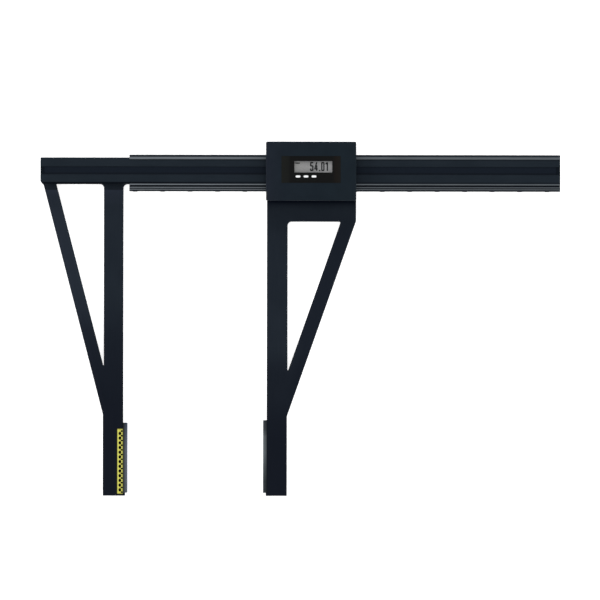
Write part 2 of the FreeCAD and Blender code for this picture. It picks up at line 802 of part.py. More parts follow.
def fixed_jaw_dowel_places():
    middle = (beam_low + beam_top) / 2
    start = beam_left + jaw_screw_inset + jaw_screw_pitch / 2
    return [(start, middle, jaw_rear + 2), (start + jaw_screw_pitch, middle, jaw_rear + 2)]


def stop_screw_places():
    middle = (beam_low + beam_top) / 2
    x = beam_right - stop_width / 2
    seat = beam_rear - stop_thickness
    return [(x, middle - stop_screw_spacing / 2, seat),
            (x, middle + stop_screw_spacing / 2, seat)]


def face_screw_heights(face_height):
    centre = face_low + face_height / 2
    return [centre - face_screw_spacing / 2, centre + face_screw_spacing / 2]


def make_fixed_jaw():
    """The fixed jaw: bar behind the beam, leg, brace, measuring face and ruler."""
    bar_top = beam_top - fixed_bar_inset
    head_x = beam_left + fixed_bar_nose
    head_y = beam_low - fixed_brace_drop
    slope = (fixed_tip_left - head_x) / (head_y - fixed_brace_foot)
    inner_head = head_x + fixed_brace_width - slope * (beam_low - head_y)
    apex = fixed_brace_foot + (fixed_tip_left + fixed_brace_width - fixed_leg_left) / slope
    foot_x = -fixed_foot_recess
    body = start_body("fixed_jaw")
    sketch = sketch_on(body, "XY_Plane", jaw_rear)
    polygon(sketch, [(beam_left, bar_top), (beam_left, beam_low + fixed_brace_head_rise),
                     (head_x, head_y), (fixed_tip_left, fixed_brace_foot),
                     (fixed_tip_left, tip_low), (foot_x, tip_low), (foot_x, face_low),
                     (fixed_leg_right, face_low), (fixed_leg_right, beam_low),
                     (fixed_bar_end, beam_low), (fixed_bar_end, bar_top)])
    polygon(sketch, [(inner_head, beam_low), (fixed_leg_left, beam_low),
                     (fixed_leg_left, apex)])
    pad(body, sketch, jaw_thickness)
    round_edges(body, upright_edges(body, [(fixed_leg_right, beam_low),
                                           (fixed_leg_left, beam_low)]), fixed_root_radius)
    round_edges(body, upright_edges(body, [(inner_head, beam_low), (fixed_leg_left, apex)]),
                apex_radius)
    bevel_edges(body, level_edges(body, jaw_rear, jaw_front), jaw_edge_chamfer)

    places = fixed_jaw_screw_places()
    holes = [(x, y) for x, y, z in places]
    drill(body, "XY_Plane", jaw_rear, holes, jaw_screw_radius + screw_clearance,
          jaw_thickness, along=True)
    drill(body, "XY_Plane", jaw_rear, holes, jaw_screw_head + counterbore_gap,
          jaw_screw_head_height + counterbore_gap, along=True)
    dowels = fixed_jaw_dowel_places()
    drill(body, "XY_Plane", jaw_rear, [(x, y) for x, y, z in dowels], dowel_radius,
          jaw_thickness, along=True)
    heights = face_screw_heights(fixed_face_height)
    drill(body, "YZ_Plane", fixed_leg_right, [(y, zero) for y in heights],
          face_screw_radius + screw_clearance, fixed_tip_width)
    drill(body, "YZ_Plane", fixed_tip_left, [(y, zero) for y in heights],
          face_screw_head + counterbore_gap, face_screw_head_height + counterbore_gap,
          along=True)
    keep(body)

    shank = jaw_thickness - jaw_screw_head_height - counterbore_gap + jaw_screw_bite
    screw = cap_screw("jaw_screw", jaw_screw_radius, shank, jaw_screw_head,
                      jaw_screw_head_height, jaw_screw_socket)
    keep(copies("fixed_jaw_screws", screw, places, REAR))
    dowel_length = jaw_thickness - 2 + jaw_screw_bite
    dowel = turned("jaw_dowel", [(0, 0), (dowel_radius, 0), (dowel_radius, dowel_length),
                                 (0, dowel_length)])
    keep(copies("fixed_jaw_dowels", dowel, dowels, FRONT))

    face = plate("fixed_measuring_face", fixed_leg_right, face_low, jaw_rear, zero,
                 face_low + fixed_face_height, jaw_front)
    drill(face, "YZ_Plane", fixed_leg_right, [(y, zero) for y in heights],
          face_screw_radius + screw_clearance, face_screw_bite + screw_clearance, along=True)
    keep(face)
    length = fixed_tip_width - face_screw_head_height - counterbore_gap + face_screw_bite
    screw = cap_screw("fixed_face_screw", face_screw_radius, length, face_screw_head,
                      face_screw_head_height, face_screw_socket)
    seat = fixed_tip_left + face_screw_head_height + counterbore_gap
    keep(copies("fixed_face_screws", screw, [(seat, y, zero) for y in heights], LEFT))

    right = fixed_leg_right - ruler_inset
    low = face_low - ruler_drop
    keep(plate("depth_ruler", right - ruler_width, low, jaw_front, right,
               low + ruler_length, jaw_front + ruler_thickness))


def make_end_stop():
    """The block behind the beam's right end, its rubber bumper and two screws."""
    middle = (beam_low + beam_top) / 2
    left = beam_right - stop_width
    low, high = middle - stop_height / 2, middle + stop_height / 2
    rear = beam_rear - stop_thickness
    block = plate("end_stop_block", left, low, rear, beam_right, high, beam_rear)
    corners = [(left, low), (left, high), (beam_right, low), (beam_right, high)]
    round_edges(block, upright_edges(block, corners), window_small_radius)
    places = stop_screw_places()
    drill(block, "XY_Plane", rear, [(x, y) for x, y, z in places],
          plate_screw_radius + screw_clearance, stop_thickness, along=True)
    recess = cover_screw_head_height + counterbore_gap
    drill(block, "XY_Plane", rear, [(x, y) for x, y, z in places],
          cover_screw_head + counterbore_gap, recess, along=True)
    keep(block)
    screw = cap_screw("stop_screw", plate_screw_radius,
                      stop_thickness - recess + jaw_screw_bite, cover_screw_head,
                      cover_screw_head_height, cover_screw_socket)
    keep(copies("end_stop_screws", screw, [(x, y, z + recess) for x, y, z in places], REAR))
    inset = window_small_radius
    keep(plate("end_stop_bumper", left - bumper_thickness, low + inset, rear + 1, left,
               high - inset, beam_rear - seal_gap))


def block_hole_rows(spread):
    """Two places on each guide block, spread about the carriage's middle."""
    half = spread / 2
    return [(block_middle + half * side, y) for side in (-1, 1)
            for y in (lower_block_centre, upper_block_centre)]


def cover_screw_spots():
    return [(x, y) for x in (cover_start + cover_screw_inset, cover_end - cover_screw_inset)
            for y in (lower_block_centre, upper_block_centre)]


def make_sliding_jaw():
    """The sliding jaw: carriage back, leg, brace and measuring face."""
    plate_right = sliding_plate_right
    head_y = beam_low - sliding_brace_head
    slope = (plate_right - sliding_tip_right) / (head_y - sliding_brace_foot)
    window_top = beam_low - sliding_window_drop
    inner_head = plate_right - sliding_brace_width - slope * (head_y - window_top)
    inner_foot = sliding_tip_right - sliding_brace_width
    apex = sliding_brace_foot + (sliding_leg_right - inner_foot) / slope
    foot_x = opening + sliding_foot_recess
    body = start_body("sliding_jaw")
    sketch = sketch_on(body, "XY_Plane", jaw_rear)
    polygon(sketch, [(sliding_leg_left, upper_block_top), (sliding_leg_left, face_low),
                     (foot_x, face_low), (foot_x, tip_low), (sliding_tip_right, tip_low),
                     (sliding_tip_right, sliding_brace_foot), (plate_right, head_y),
                     (plate_right, upper_block_top)])
    polygon(sketch, [(sliding_leg_right, window_top), (inner_head, window_top),
                     (sliding_leg_right, apex)])
    pad(body, sketch, jaw_thickness)
    round_edges(body, upright_edges(body, [(sliding_leg_right, window_top)]), window_radius)
    round_edges(body, upright_edges(body, [(inner_head, window_top)]), window_small_radius)
    round_edges(body, upright_edges(body, [(sliding_leg_right, apex)]), apex_radius)
    round_edges(body, upright_edges(body, [(plate_right, head_y)]), shoulder_radius)
    bevel_edges(body, level_edges(body, jaw_rear, jaw_front), jaw_edge_chamfer)

    # Relief under the beam for the rear glide pads, and the notch at the clamp screw
    sketch = sketch_on(body, "XY_Plane", jaw_front)
    rectangle(sketch, sliding_leg_left - 1, lower_block_top, plate_right + 1, upper_block_low)
    pocket(body, sketch, rear_relief)
    sketch = sketch_on(body, "XY_Plane", jaw_front)
    left = opening + lock_x - lock_pocket_width / 2
    rectangle(sketch, left, lock_floor, left + lock_pocket_width, upper_block_top + 1)
    pocket(body, sketch, jaw_thickness)

    for spots, radius, head, head_height in (
            (block_hole_rows(block_screw_spread), block_screw_radius, face_screw_head,
             face_screw_head_height),
            (cover_screw_spots(), cover_screw_radius, cover_screw_head,
             cover_screw_head_height)):
        drill(body, "XY_Plane", jaw_rear, spots, radius + screw_clearance, jaw_thickness,
              along=True)
        drill(body, "XY_Plane", jaw_rear, spots, head + counterbore_gap,
              head_height + counterbore_gap, along=True)
    drill(body, "XY_Plane", jaw_rear, block_hole_rows(block_dowel_spread), dowel_radius,
          jaw_thickness, along=True)
    heights = face_screw_heights(sliding_face_height)
    drill(body, "YZ_Plane", sliding_tip_right, [(y, zero) for y in heights],
          face_screw_radius + screw_clearance, sliding_tip_width)
    drill(body, "YZ_Plane", sliding_tip_right, [(y, zero) for y in heights],
          face_screw_head + counterbore_gap, face_screw_head_height + counterbore_gap)
    keep(body)

    face = plate("sliding_measuring_face", opening, face_low, jaw_rear, sliding_leg_left,
                 face_low + sliding_face_height, jaw_front)
    drill(face, "YZ_Plane", sliding_leg_left, [(y, zero) for y in heights],
          face_screw_radius + screw_clearance, face_screw_bite + screw_clearance)
    keep(face)
    length = sliding_tip_width - face_screw_head_height - counterbore_gap + face_screw_bite
    screw = cap_screw("sliding_face_screw", face_screw_radius, length, face_screw_head,
                      face_screw_head_height, face_screw_socket)
    seat = sliding_tip_right - face_screw_head_height - counterbore_gap
    keep(copies("sliding_face_screws", screw, [(seat, y, zero) for y in heights], RIGHT))


def set_screw_spots():
    """Places along X of the four gib screws, in pairs about the carriage's middle."""
    near_pair = [opening + set_screw_near, opening + set_screw_far]
    return near_pair + [2 * block_middle - x for x in reversed(near_pair)]


def make_guide_blocks():
    """The two blocks that reach round the rails, and what fastens them."""
    pocket_left = opening + lock_x - lock_pocket_width / 2
    pocket_right = pocket_left + lock_pocket_width
    upper = start_body("upper_guide_block")
    sketch = sketch_on(upper, "XY_Plane", jaw_front)
    polygon(sketch, [(block_left, upper_block_low), (block_right, upper_block_low),
                     (block_right, upper_block_top), (pocket_right, upper_block_top),
                     (pocket_right, lock_floor), (pocket_left, lock_floor),
                     (pocket_left, upper_block_top), (block_left, upper_block_top)])
    height = plate_rear - jaw_front
    pad(upper, sketch, height)
    lower = plate("lower_guide_block", block_left, lower_block_low, jaw_front, block_right,
                  lower_block_top, plate_rear)
    for block, row in ((lower, lower_block_centre), (upper, upper_block_centre)):
        screws = [(x, y) for x, y in block_hole_rows(block_screw_spread) if y is row]
        drill(block, "XY_Plane", jaw_front, screws, block_screw_radius + screw_clearance,
              block_screw_bite + screw_clearance, along=True)
        dowels = [(x, y) for x, y in block_hole_rows(block_dowel_spread) if y is row]
        drill(block, "XY_Plane", jaw_front, dowels, dowel_radius, block_screw_bite, along=True)
        through = [(x, y) for x, y in cover_screw_spots() if y is row]
        drill(block, "XY_Plane", plate_rear, through, cover_screw_radius + screw_clearance,
              height)
        plate_screws = [(x, y) for x, y in block_hole_rows(plate_screw_spread) if y is row]
        drill(block, "XY_Plane", plate_rear, plate_screws,
              plate_screw_radius + screw_clearance,
              plate_screw_length - front_plate_thickness + screw_clearance)
        ends = [(row, rail_middle + wiper_screw_spacing / 2 * side) for side in (-1, 1)]
        bite = wiper_screw_length - wiper_thickness + screw_clearance
        radius = wiper_screw_radius + screw_clearance
        drill(block, "YZ_Plane", block_left, ends, radius, bite, along=True)
        drill(block, "YZ_Plane", block_right, ends, radius, bite)
    drill(upper, "XZ_Plane", upper_block_low, [(x, rail_middle) for x in set_screw_spots()],
          set_screw_radius, upper_block_top - upper_block_low)
    drill(upper, "XZ_Plane", upper_block_low, [(opening + lock_x, rail_middle)],
          lock_bush_radius, lock_pocket_floor)
    keep(upper)
    keep(lower)

    seat = jaw_rear + face_screw_head_height + counterbore_gap
    screw = cap_screw("block_screw", block_screw_radius, jaw_front - seat + block_screw_bite,
                      face_screw_head, face_screw_head_height, face_screw_socket)
    places = [(x, y, seat) for x, y in block_hole_rows(block_screw_spread)]
    keep(copies("guide_block_screws", screw, places, REAR))
    length = jaw_thickness - 2 + block_screw_bite
    dowel = turned("block_dowel", [(0, 0), (dowel_radius, 0), (dowel_radius, length),
                                   (0, length)])
    places = [(x, y, jaw_rear + 2) for x, y in block_hole_rows(block_dowel_spread)]
    keep(copies("guide_block_dowels", dowel, places, FRONT))


def make_front_plate():
    """The plate that closes the carriage in front of the beam."""
    body = plate("front_plate", block_left, lower_block_low, plate_rear, block_right,
                 upper_block_top, plate_front)
    sketch = sketch_on(body, "XY_Plane", plate_front)
    x = opening + display_x
    rectangle(sketch, x - head_width / 2 - 1, channel_centre - head_height / 2 - 1,
              x + head_width / 2 + 1, channel_centre + head_height / 2 + 1)
    pocket(body, sketch, front_plate_thickness)
    drill(body, "XY_Plane", plate_front, cover_screw_spots(),
          cover_screw_radius + screw_clearance, front_plate_thickness)
    spots = block_hole_rows(plate_screw_spread)
    cutter = flush_screw("plate_screw_hole", plate_screw_radius + screw_clearance,
                         plate_screw_length, plate_screw_head, plate_screw_head_height)
    places = [(x, y, plate_front) for x, y in spots]
    holes = copies("plate_screw_holes", cutter, places, FRONT)
    body.Label = "front_plate_blank"
    keep(subtract("front_plate", body, holes))
    screw = flush_screw("plate_screw", plate_screw_radius, plate_screw_length,
                        plate_screw_head, plate_screw_head_height)
    keep(copies("front_plate_screws", screw, places, FRONT))


def make_glides():
    """Pads, gib, springs and set screws that guide the carriage on the rails."""
    left, right = block_left, block_right
    relief = jaw_front - rear_relief
    inset = rear_pad_width
    pads = []
    for low in (beam_low + inset, beam_top - inset - rear_pad_width):
        pads.append(plate("rear_glide_pad", left, low, relief, right, low + rear_pad_width,
                          beam_rear - glide_gap))
    group = doc.addObject("Part::Compound", "rear_glide_pads")
    group.Links = pads
    keep(group)

    pads = []
    front = rail_front + glide_gap
    for low in (rail_low + lower_rail_height / 2, rail_top - front_pad_width):
        pads.append(plate("front_glide_pad", left, low, front, right, low + front_pad_width,
                          plate_rear))
    group = doc.addObject("Part::Compound", "front_glide_pads")
    group.Links = pads
    keep(group)

    shoe = start_body("lower_glide_pads")
    sketch = sketch_on(shoe, "YZ_Plane", left)
    top = rail_low - glide_gap
    half = lower_pad_groove / 2
    floor = top - lower_pad_groove_depth
    polygon(sketch, [(lower_block_top, rail_rear), (lower_block_top, rail_front),
                     (top, rail_front), (top, rail_middle + half),
                     (floor, rail_middle + half), (floor, rail_middle - half),
                     (top, rail_middle - half), (top, rail_rear)])
    pad(shoe, sketch, right - left)
    keep(shoe)

    half_gib = gib_depth / 2
    gib = plate("gib_strip", left, gib_low, rail_middle - half_gib, right, gib_top,
                rail_middle + half_gib)
    drill(gib, "XZ_Plane", gib_low, [(opening + lock_x, rail_middle)],
          lock_pad_radius + seal_gap, gib_thickness)
    keep(gib)

    # Each leaf stands on the gib with its ends and pushes on the block with its crown
    spots = set_screw_spots()
    springs = []
    for near_spot, far_spot in ((spots[0], spots[1]), (spots[2], spots[3])):
        leaf = start_body("gib_spring")
        sketch = sketch_on(leaf, "XY_Plane", rail_middle - gib_spring_width / 2)
        centre = (near_spot + far_spot) / 2
        half, crown = gib_spring_length / 2, gib_spring_length / 6
        skin = gib_spring_thickness
        top = upper_block_low
        polygon(sketch, [(centre - half, gib_top), (centre - half + 2, gib_top),
                         (centre - crown, top - skin), (centre + crown, top - skin),
                         (centre + half - 2, gib_top), (centre + half, gib_top),
                         (centre + half, gib_top + skin), (centre + half - 2, gib_top + skin),
                         (centre + crown, top), (centre - crown, top),
                         (centre - half + 2, gib_top + skin), (centre - half, gib_top + skin)])
        pad(leaf, sketch, gib_spring_width)
        springs.append(leaf)
    group = doc.addObject("Part::Compound", "gib_springs")
    group.Links = springs
    keep(group)

    socket_depth = set_screw_length / 3
    screw = turned("set_screw", [(0, 0), (set_screw_radius * 0.7, 0),
                                 (set_screw_radius, set_screw_radius * 0.3),
                                 (set_screw_radius, set_screw_length),
                                 (0, set_screw_length)])
    sketch = sketch_on(screw, "XY_Plane", set_screw_length)
    hexagon(sketch, set_screw_radius * 0.6)
    pocket(screw, sketch, socket_depth)
    places = [(x, gib_top, rail_middle) for x in spots]
    keep(copies("gib_set_screws", screw, places, TOP))


def make_wipers():
    """Seals at both ends of the carriage that follow the beam's section."""
    gap = seal_gap
    low = rail_low - rail_screw_proud - gap
    high = rail_top + gap
    rear = jaw_front + gap
    front = plate_front - gap
    outer_low, outer_top = lower_block_low + gap, upper_block_top - gap
    row_low, row_high = lower_block_centre, upper_block_centre
    spots = [(y, rail_middle + wiper_screw_spacing / 2 * side)
             for y in (row_low, row_high) for side in (-1, 1)]
    seals = []
    for name, start in (("left_wiper", block_left - wiper_thickness),
                        ("right_wiper", block_right)):
        body = start_body(name)
        sketch = sketch_on(body, "YZ_Plane", start)
        polygon(sketch, [(outer_low, rear), (outer_low, front), (outer_top, front),
                         (outer_top, rear), (high, rear), (high, rail_front + gap),
                         (upper_lap - gap, rail_front + gap),
                         (upper_lap - gap, beam_front + gap),
                         (lower_lap + gap, beam_front + gap),
                         (lower_lap + gap, rail_front + gap),
                         (low, rail_front + gap), (low, rear)])
        pad(body, sketch, wiper_thickness)
        seals.append(body)
    screw = flush_screw("wiper_screw", wiper_screw_radius, wiper_screw_length,
                        wiper_screw_head, wiper_screw_head_height)
    hole = flush_screw("wiper_screw_hole", wiper_screw_radius + screw_clearance,
                       wiper_screw_length, wiper_screw_head, wiper_screw_head_height)
    left_places = [(block_left - wiper_thickness, y, z) for y, z in spots]
    right_places = [(block_right + wiper_thickness, y, z) for y, z in spots]
    left_seal = subtract("left_wiper_seal", seals[0],
                         copies("left_wiper_holes", hole, left_places, LEFT))
    right_seal = subtract("right_wiper_seal", seals[1],
                          copies("right_wiper_holes", hole, right_places, RIGHT))
    group = doc.addObject("Part::Compound", "end_wipers")
    group.Links = [left_seal, right_seal]
    keep(group)
    group = doc.addObject("Part::Compound", "wiper_screws")
    group.Links = [copies("left_wiper_screws", screw, left_places, LEFT),
                   copies("right_wiper_screws", screw, right_places, RIGHT)]
    keep(group)


def key_spots():
    """Centres of the three keys along X, left to right."""
    return [opening + key_x + key_pitch * step for step in (-1, 0, 1)]


def make_cover():
    """The housing over the electronics, its gasket, long screws, overlay and lens."""
    body = plate("display_cover", cover_start, cover_low, cover_back, cover_end, cover_top,
                 cover_front)
    sketch = sketch_on(body, "XY_Plane", cover_back)
    rectangle(sketch, cover_start, cover_low, cover_start + cover_step,
              cover_low + cover_step_rise)
    pocket(body, sketch, cover_depth, along=True)
    corners = [(cover_start + cover_step, cover_low), (cover_start, cover_top),
               (cover_end, cover_low), (cover_end, cover_top)]
    round_edges(body, upright_edges(body, corners), cover_corner_radius)
    round_edges(body, level_edges(body, cover_front), cover_edge_radius)
    hollow = cover_depth - cover_front_wall
    sketch = sketch_on(body, "XY_Plane", cover_back)
    rectangle(sketch, cover_start + cover_wall, cover_low + cover_wall,
              cover_end - cover_wall, cover_top - cover_wall)
    pocket(body, sketch, hollow, along=True)
    sketch = sketch_on(body, "XY_Plane", cover_back)
    for x, y in cover_screw_spots():
        circle(sketch, x, y, cover_boss_radius)
    pad(body, sketch, hollow)
    drill(body, "XY_Plane", cover_back, cover_screw_spots(),
          cover_screw_radius + screw_clearance, cover_screw_bite + screw_clearance,
          along=True)

    # Recess for the overlay, opening for the lens, slots for the keys
    middle_x = cover_start + cover_width / 2
    overlay_top = cover_top - overlay_drop
    sketch = sketch_on(body, "XY_Plane", cover_front)
    rectangle(sketch, middle_x - overlay_width / 2, overlay_top - overlay_height,
              middle_x + overlay_width / 2, overlay_top)
    pocket(body, sketch, overlay_recess)
    x = opening + display_x
    half_width = display_width / 2 + lens_lap
    half_height = display_height / 2 + lens_lap
    sketch = sketch_on(body, "XY_Plane", overlay_floor)
    rectangle(sketch, x - half_width, display_y - half_height, x + half_width,
              display_y + half_height)
    for key in key_spots():
        pill(sketch, key, key_y, key_length + 2 * key_gap, key_height + 2 * key_gap)
    pocket(body, sketch, cover_front_wall - overlay_recess)

    # Two ribs that guide the battery tray, and its slot in the right flank
    half = cell_radius + tray_rim + tray_gap
    sketch = sketch_on(body, "XY_Plane", cover_ceiling)
    inner = cover_end - cover_wall
    for low in (cell_y - half - tray_guide_width, cell_y + half):
        rectangle(sketch, cover_end - tray_reach + 1, low, inner, low + tray_guide_width)
    pad(body, sketch, tray_guide_height, back=True)
    sketch = sketch_on(body, "YZ_Plane", cover_end)
    rectangle(sketch, cell_y - half, tray_rear - tray_gap, cell_y + half,
              tray_front + tray_gap)
    pocket(body, sketch, cover_wall)
    keep(body)

    gasket = start_body("cover_gasket")
    sketch = sketch_on(gasket, "XY_Plane", plate_front)
    rectangle(sketch, block_left, lower_block_low, block_right, upper_block_top)
    rectangle(sketch, block_left + gasket_width, lower_block_low + gasket_width,
              block_right - gasket_width, upper_block_top - gasket_width)
    pad(gasket, sketch, gasket_thickness)
    keep(gasket)

    seat = jaw_rear + cover_screw_head_height + counterbore_gap
    screw = cap_screw("cover_screw", cover_screw_radius,
                      cover_back - seat + cover_screw_bite, cover_screw_head,
                      cover_screw_head_height, cover_screw_socket)
    places = [(x, y, seat) for x, y in cover_screw_spots()]
    keep(copies("cover_screws", screw, places, REAR))

    overlay = start_body("display_overlay")
    sketch = sketch_on(overlay, "XY_Plane", overlay_floor)
    gap = overlay_clearance
    rectangle(sketch, middle_x - overlay_width / 2 + gap, overlay_top - overlay_height + gap,
              middle_x + overlay_width / 2 - gap, overlay_top - gap)
    rectangle(sketch, x - display_width / 2, display_y - display_height / 2,
              x + display_width / 2, display_y + display_height / 2)
    for key in key_spots():
        pill(sketch, key, key_y, key_length + 2 * key_gap, key_height + 2 * key_gap)
    pad(overlay, sketch, overlay_thickness)
    keep(overlay)

    lens_width, lens_height = half_width - gap / 2, half_height - gap / 2
    keep(plate("display_window", x - lens_width, display_y - lens_height, cover_ceiling,
               x + lens_width, display_y + lens_height, overlay_floor))


def board_screw_spots():
    """Corners of the circuit board where it stands on its standoffs."""
    left = board_left + standoff_inset
    right = board_right - standoff_inset
    low = cover_low + board_inset + standoff_inset
    high = cover_top - board_inset - standoff_inset
    return [(x, y) for x in (left, right) for y in (low, high)]


def make_electronics():
    """Circuit board, display, read head, switches and battery contacts."""
    spots = board_screw_spots()
    board = plate("circuit_board", board_left, cover_low + board_inset, board_rear,
                  board_right, cover_top - board_inset, board_front)
    drill(board, "XY_Plane", board_front, spots, board_screw_radius + screw_clearance,
          board_thickness)
    keep(board)
    stand_height = board_rear - plate_front
    stand = turned("standoff", [(board_screw_radius, 0), (standoff_radius, 0),
                                (standoff_radius, stand_height),
                                (board_screw_radius, stand_height)])
    keep(copies("board_standoffs", stand, [(x, y, plate_front) for x, y in spots], FRONT))
    screw = cap_screw("board_screw", board_screw_radius, board_thickness + stand_height,
                      board_screw_head, board_screw_head_height, board_screw_radius * 0.7)
    keep(copies("board_screws", screw, [(x, y, board_front) for x, y in spots], FRONT))

    x = opening + display_x
    frame = start_body("lcd_frame")
    sketch = sketch_on(frame, "XY_Plane", board_front)
    half_width, half_height = lcd_width / 2, lcd_height / 2
    wall = lcd_frame_wall
    rectangle(sketch, x - half_width, display_y - half_height, x + half_width,
              display_y + half_height)
    rectangle(sketch, x - half_width + wall, display_y - half_height + wall,
              x + half_width - wall, display_y + half_height - wall)
    pad(frame, sketch, lcd_rear - board_front)
    keep(frame)
    keep(plate("lcd_glass", x - half_width, display_y - half_height, lcd_rear,
               x + half_width, display_y + half_height, lcd_front))

    # The read head hangs under the board and its nose dips into the beam's channel
    head = plate("read_head", x - head_width / 2, channel_centre - head_height / 2,
                 plate_rear, x + head_width / 2, channel_centre + head_height / 2,
                 board_rear)
    nose = scale_front + read_gap
    sketch = sketch_on(head, "XY_Plane", nose)
    rectangle(sketch, x - nose_width / 2, channel_centre - nose_height / 2,
              x + nose_width / 2, channel_centre + nose_height / 2)
    pad(head, sketch, plate_rear - nose)
    keep(head)

    switches = []
    for key in key_spots():
        body = plate("key_switch", key - key_flange_length / 2, key_y - key_flange_height / 2,
                     board_front, key + key_flange_length / 2, key_y + key_flange_height / 2,
                     membrane_rear)
        switches.append(body)
    group = doc.addObject("Part::Compound", "button_switches")
    group.Links = switches
    keep(group)
    middle = opening + key_x
    keep(plate("button_membrane", middle - membrane_length / 2,
               key_y - key_flange_height / 2, membrane_rear, middle + membrane_length / 2,
               key_y + key_flange_height / 2, membrane_front))

    # Bare chips left of the display, and the shielded radio below it
    left = board_left + 1
    chips = []
    for low, width, height in ((cell_y - 9, 7, 7), (cell_y + 2, 5, 4), (cell_y + 8, 4, 3)):
        chips.append(plate("chip", left, low, board_front, left + width, low + height,
                           board_front + 1))
    group = doc.addObject("Part::Compound", "board_chips")
    group.Links = chips
    keep(group)
    radio_left = key_spots()[-1] + key_pitch
    low = cover_low + board_inset + 1
    radio = plate("radio_module", radio_left, low, board_front, radio_left + 10, low + 9,
                  board_front + 2)
    round_edges(radio, level_edges(radio, board_front + 2), apex_radius / 2)
    keep(radio)
    contacts = []
    for side in (-1, 1):
        low = cell_y + 3 * side - 1
        contacts.append(plate("contact", opening + cell_x - 5, low, board_front,
                              opening + cell_x + 5, low + 2,
                              board_front + contact_thickness))
    group = doc.addObject("Part::Compound", "battery_contacts")
    group.Links = contacts
    keep(group)


def make_keys():
    """Three white keys with round ends, each on a flange behind the cover's wall."""
    for name, x in zip(("left_button", "middle_button", "right_button"), key_spots()):
        body = start_body(name)
        sketch = sketch_on(body, "XY_Plane", key_flange_rear)
        pill(sketch, x, key_y, key_flange_length, key_flange_height)
        pad(body, sketch, key_flange_thickness)
        sketch = sketch_on(body, "XY_Plane", key_flange_front)
        pill(sketch, x, key_y, key_length, key_height)
        top = overlay_floor + overlay_thickness + key_proud
        pad(body, sketch, top - key_flange_front)
        round_edges(body, level_edges(body, top), key_gap)
        keep(body)


def make_battery():
    """The tray that pulls out of the right flank, and the coin cell in it."""
    half = cell_radius + tray_rim
    x = opening + cell_x
    left = cover_end - tray_reach
    tray = plate("battery_tray", left, cell_y - half, tray_rear, cover_end, cell_y + half,
                 tray_front)
    drill(tray, "XY_Plane", tray_front, [(x, cell_y)], cell_radius + screw_clearance,
          cell_thickness)
    drill(tray, "XY_Plane", cell_rear, [(x, cell_y)], tray_window_radius, tray_floor)
    sketch = sketch_on(tray, "XY_Plane", tray_front)
    circle(sketch, cover_end + tray_notch_radius - tray_notch_depth, cell_y,
           tray_notch_radius)
    pocket(tray, sketch, (tray_front - tray_rear) / 2)
    keep(tray)
    step, rim = 0.5, 1.4
    cell = turned("battery_cell", [(0, 0), (cell_radius - rim, 0), (cell_radius - rim, step),
                                   (cell_radius, step), (cell_radius, cell_thickness - 0.3),
                                   (cell_radius - 0.3, cell_thickness), (0, cell_thickness)])
    place(cell, x, cell_y, cell_rear)
    keep(cell)


def make_clamp():
    """The clamp: threaded bush in the block, pad on the rail and knurled screw."""
    x = opening + lock_x
    bore = lock_screw_radius + lock_running_gap
    bush = turned("lock_bush", [(bore, 0), (lock_bush_radius, 0),
                                (lock_bush_radius, lock_pocket_floor),
                                (bore, lock_pocket_floor)])
    place(bush, x, upper_block_low, rail_middle, *TOP)
    keep(bush)
    pad_low = rail_top + lock_pad_gap
    bevel = lock_pad_radius / 8
    lock_pad = turned("lock_pad", [(0, 0), (lock_pad_radius - bevel, 0),
                                   (lock_pad_radius, bevel),
                                   (lock_pad_radius, lock_pad_thickness),
                                   (0, lock_pad_thickness)])
    place(lock_pad, x, pad_low, rail_middle, *TOP)
    keep(lock_pad)

    # The shank starts on the pad, and the head stands in the block's pocket
    shank_low = pad_low + lock_pad_thickness
    shank = lock_floor + lock_head_gap - shank_low
    top = shank + lock_head_height
    rim = lock_head_height / 8
    screw = turned("lock_screw", [(0, 0), (lock_screw_radius, 0), (lock_screw_radius, shank),
                                  (lock_head_radius - rim, shank),
                                  (lock_head_radius, shank + rim),
                                  (lock_head_radius, top - rim),
                                  (lock_head_radius - rim, top), (0, top)])
    sketch = sketch_on(screw, "XY_Plane", top)
    circle(sketch, lock_head_radius, zero, knurl_radius)
    groove = pocket(screw, sketch, lock_head_height)
    ring = screw.newObject("PartDesign::PolarPattern", "knurl")
    ring.Originals = [groove]
    ring.Axis = (origin_item(screw, "Z_Axis"), [""])
    ring.Angle = 360
    ring.setExpression("Occurrences", knurl_count.text)
    screw.Tip = ring
    doc.recompute()
    sketch = sketch_on(screw, "XY_Plane", top)
    hexagon(sketch, jaw_screw_socket)
    pocket(screw, sketch, lock_head_height / 2)
    place(screw, x, shank_low, rail_middle, *TOP)
    keep(screw)


make_beam()
make_fixed_jaw()
make_end_stop()
make_sliding_jaw()
make_guide_blocks()
make_front_plate()
make_glides()
make_wipers()
make_cover()
make_electronics()
make_keys()
make_battery()
make_clamp()
doc.recompute()

for item in doc.Objects:
    if "Invalid" in item.State or "Error" in item.State:
        raise RuntimeError("%s failed" % item.Label)
for piece in pieces:
    if piece.Shape.isNull() or not piece.Shape.isValid():
        raise RuntimeError("%s has no valid shape" % piece.Label)

os.makedirs("parts", exist_ok=True)
for piece in pieces:
    piece.Shape.exportStep("parts/%s.step" % piece.Label)
    box = piece.Shape.BoundBox
    print("%-24s %2d solids  x %7.2f %7.2f  y %7.2f %7.2f  z %6.2f %6.2f" % (
        piece.Label, len(piece.Shape.Solids), box.XMin, box.XMax, box.YMin, box.YMax,
        box.ZMin, box.ZMax))
print(len(pieces), "pieces")
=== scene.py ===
# %% [markdown]
# A digital caliper with long jaws, dressed for its photograph
#
# The real tool is a black anodised aluminium beam with two ground steel rails. One
# jaw is bolted to the beam's left end, and the other rides on a carriage with a
# display. The CAD model already holds every piece in its place, so this lesson adds
# what CAD leaves plain: the finishes, the printed ruler, the figures on the display
# and the small screws. All lengths are metres, in the same frame as the CAD.

# %% Tools and the frame
import math

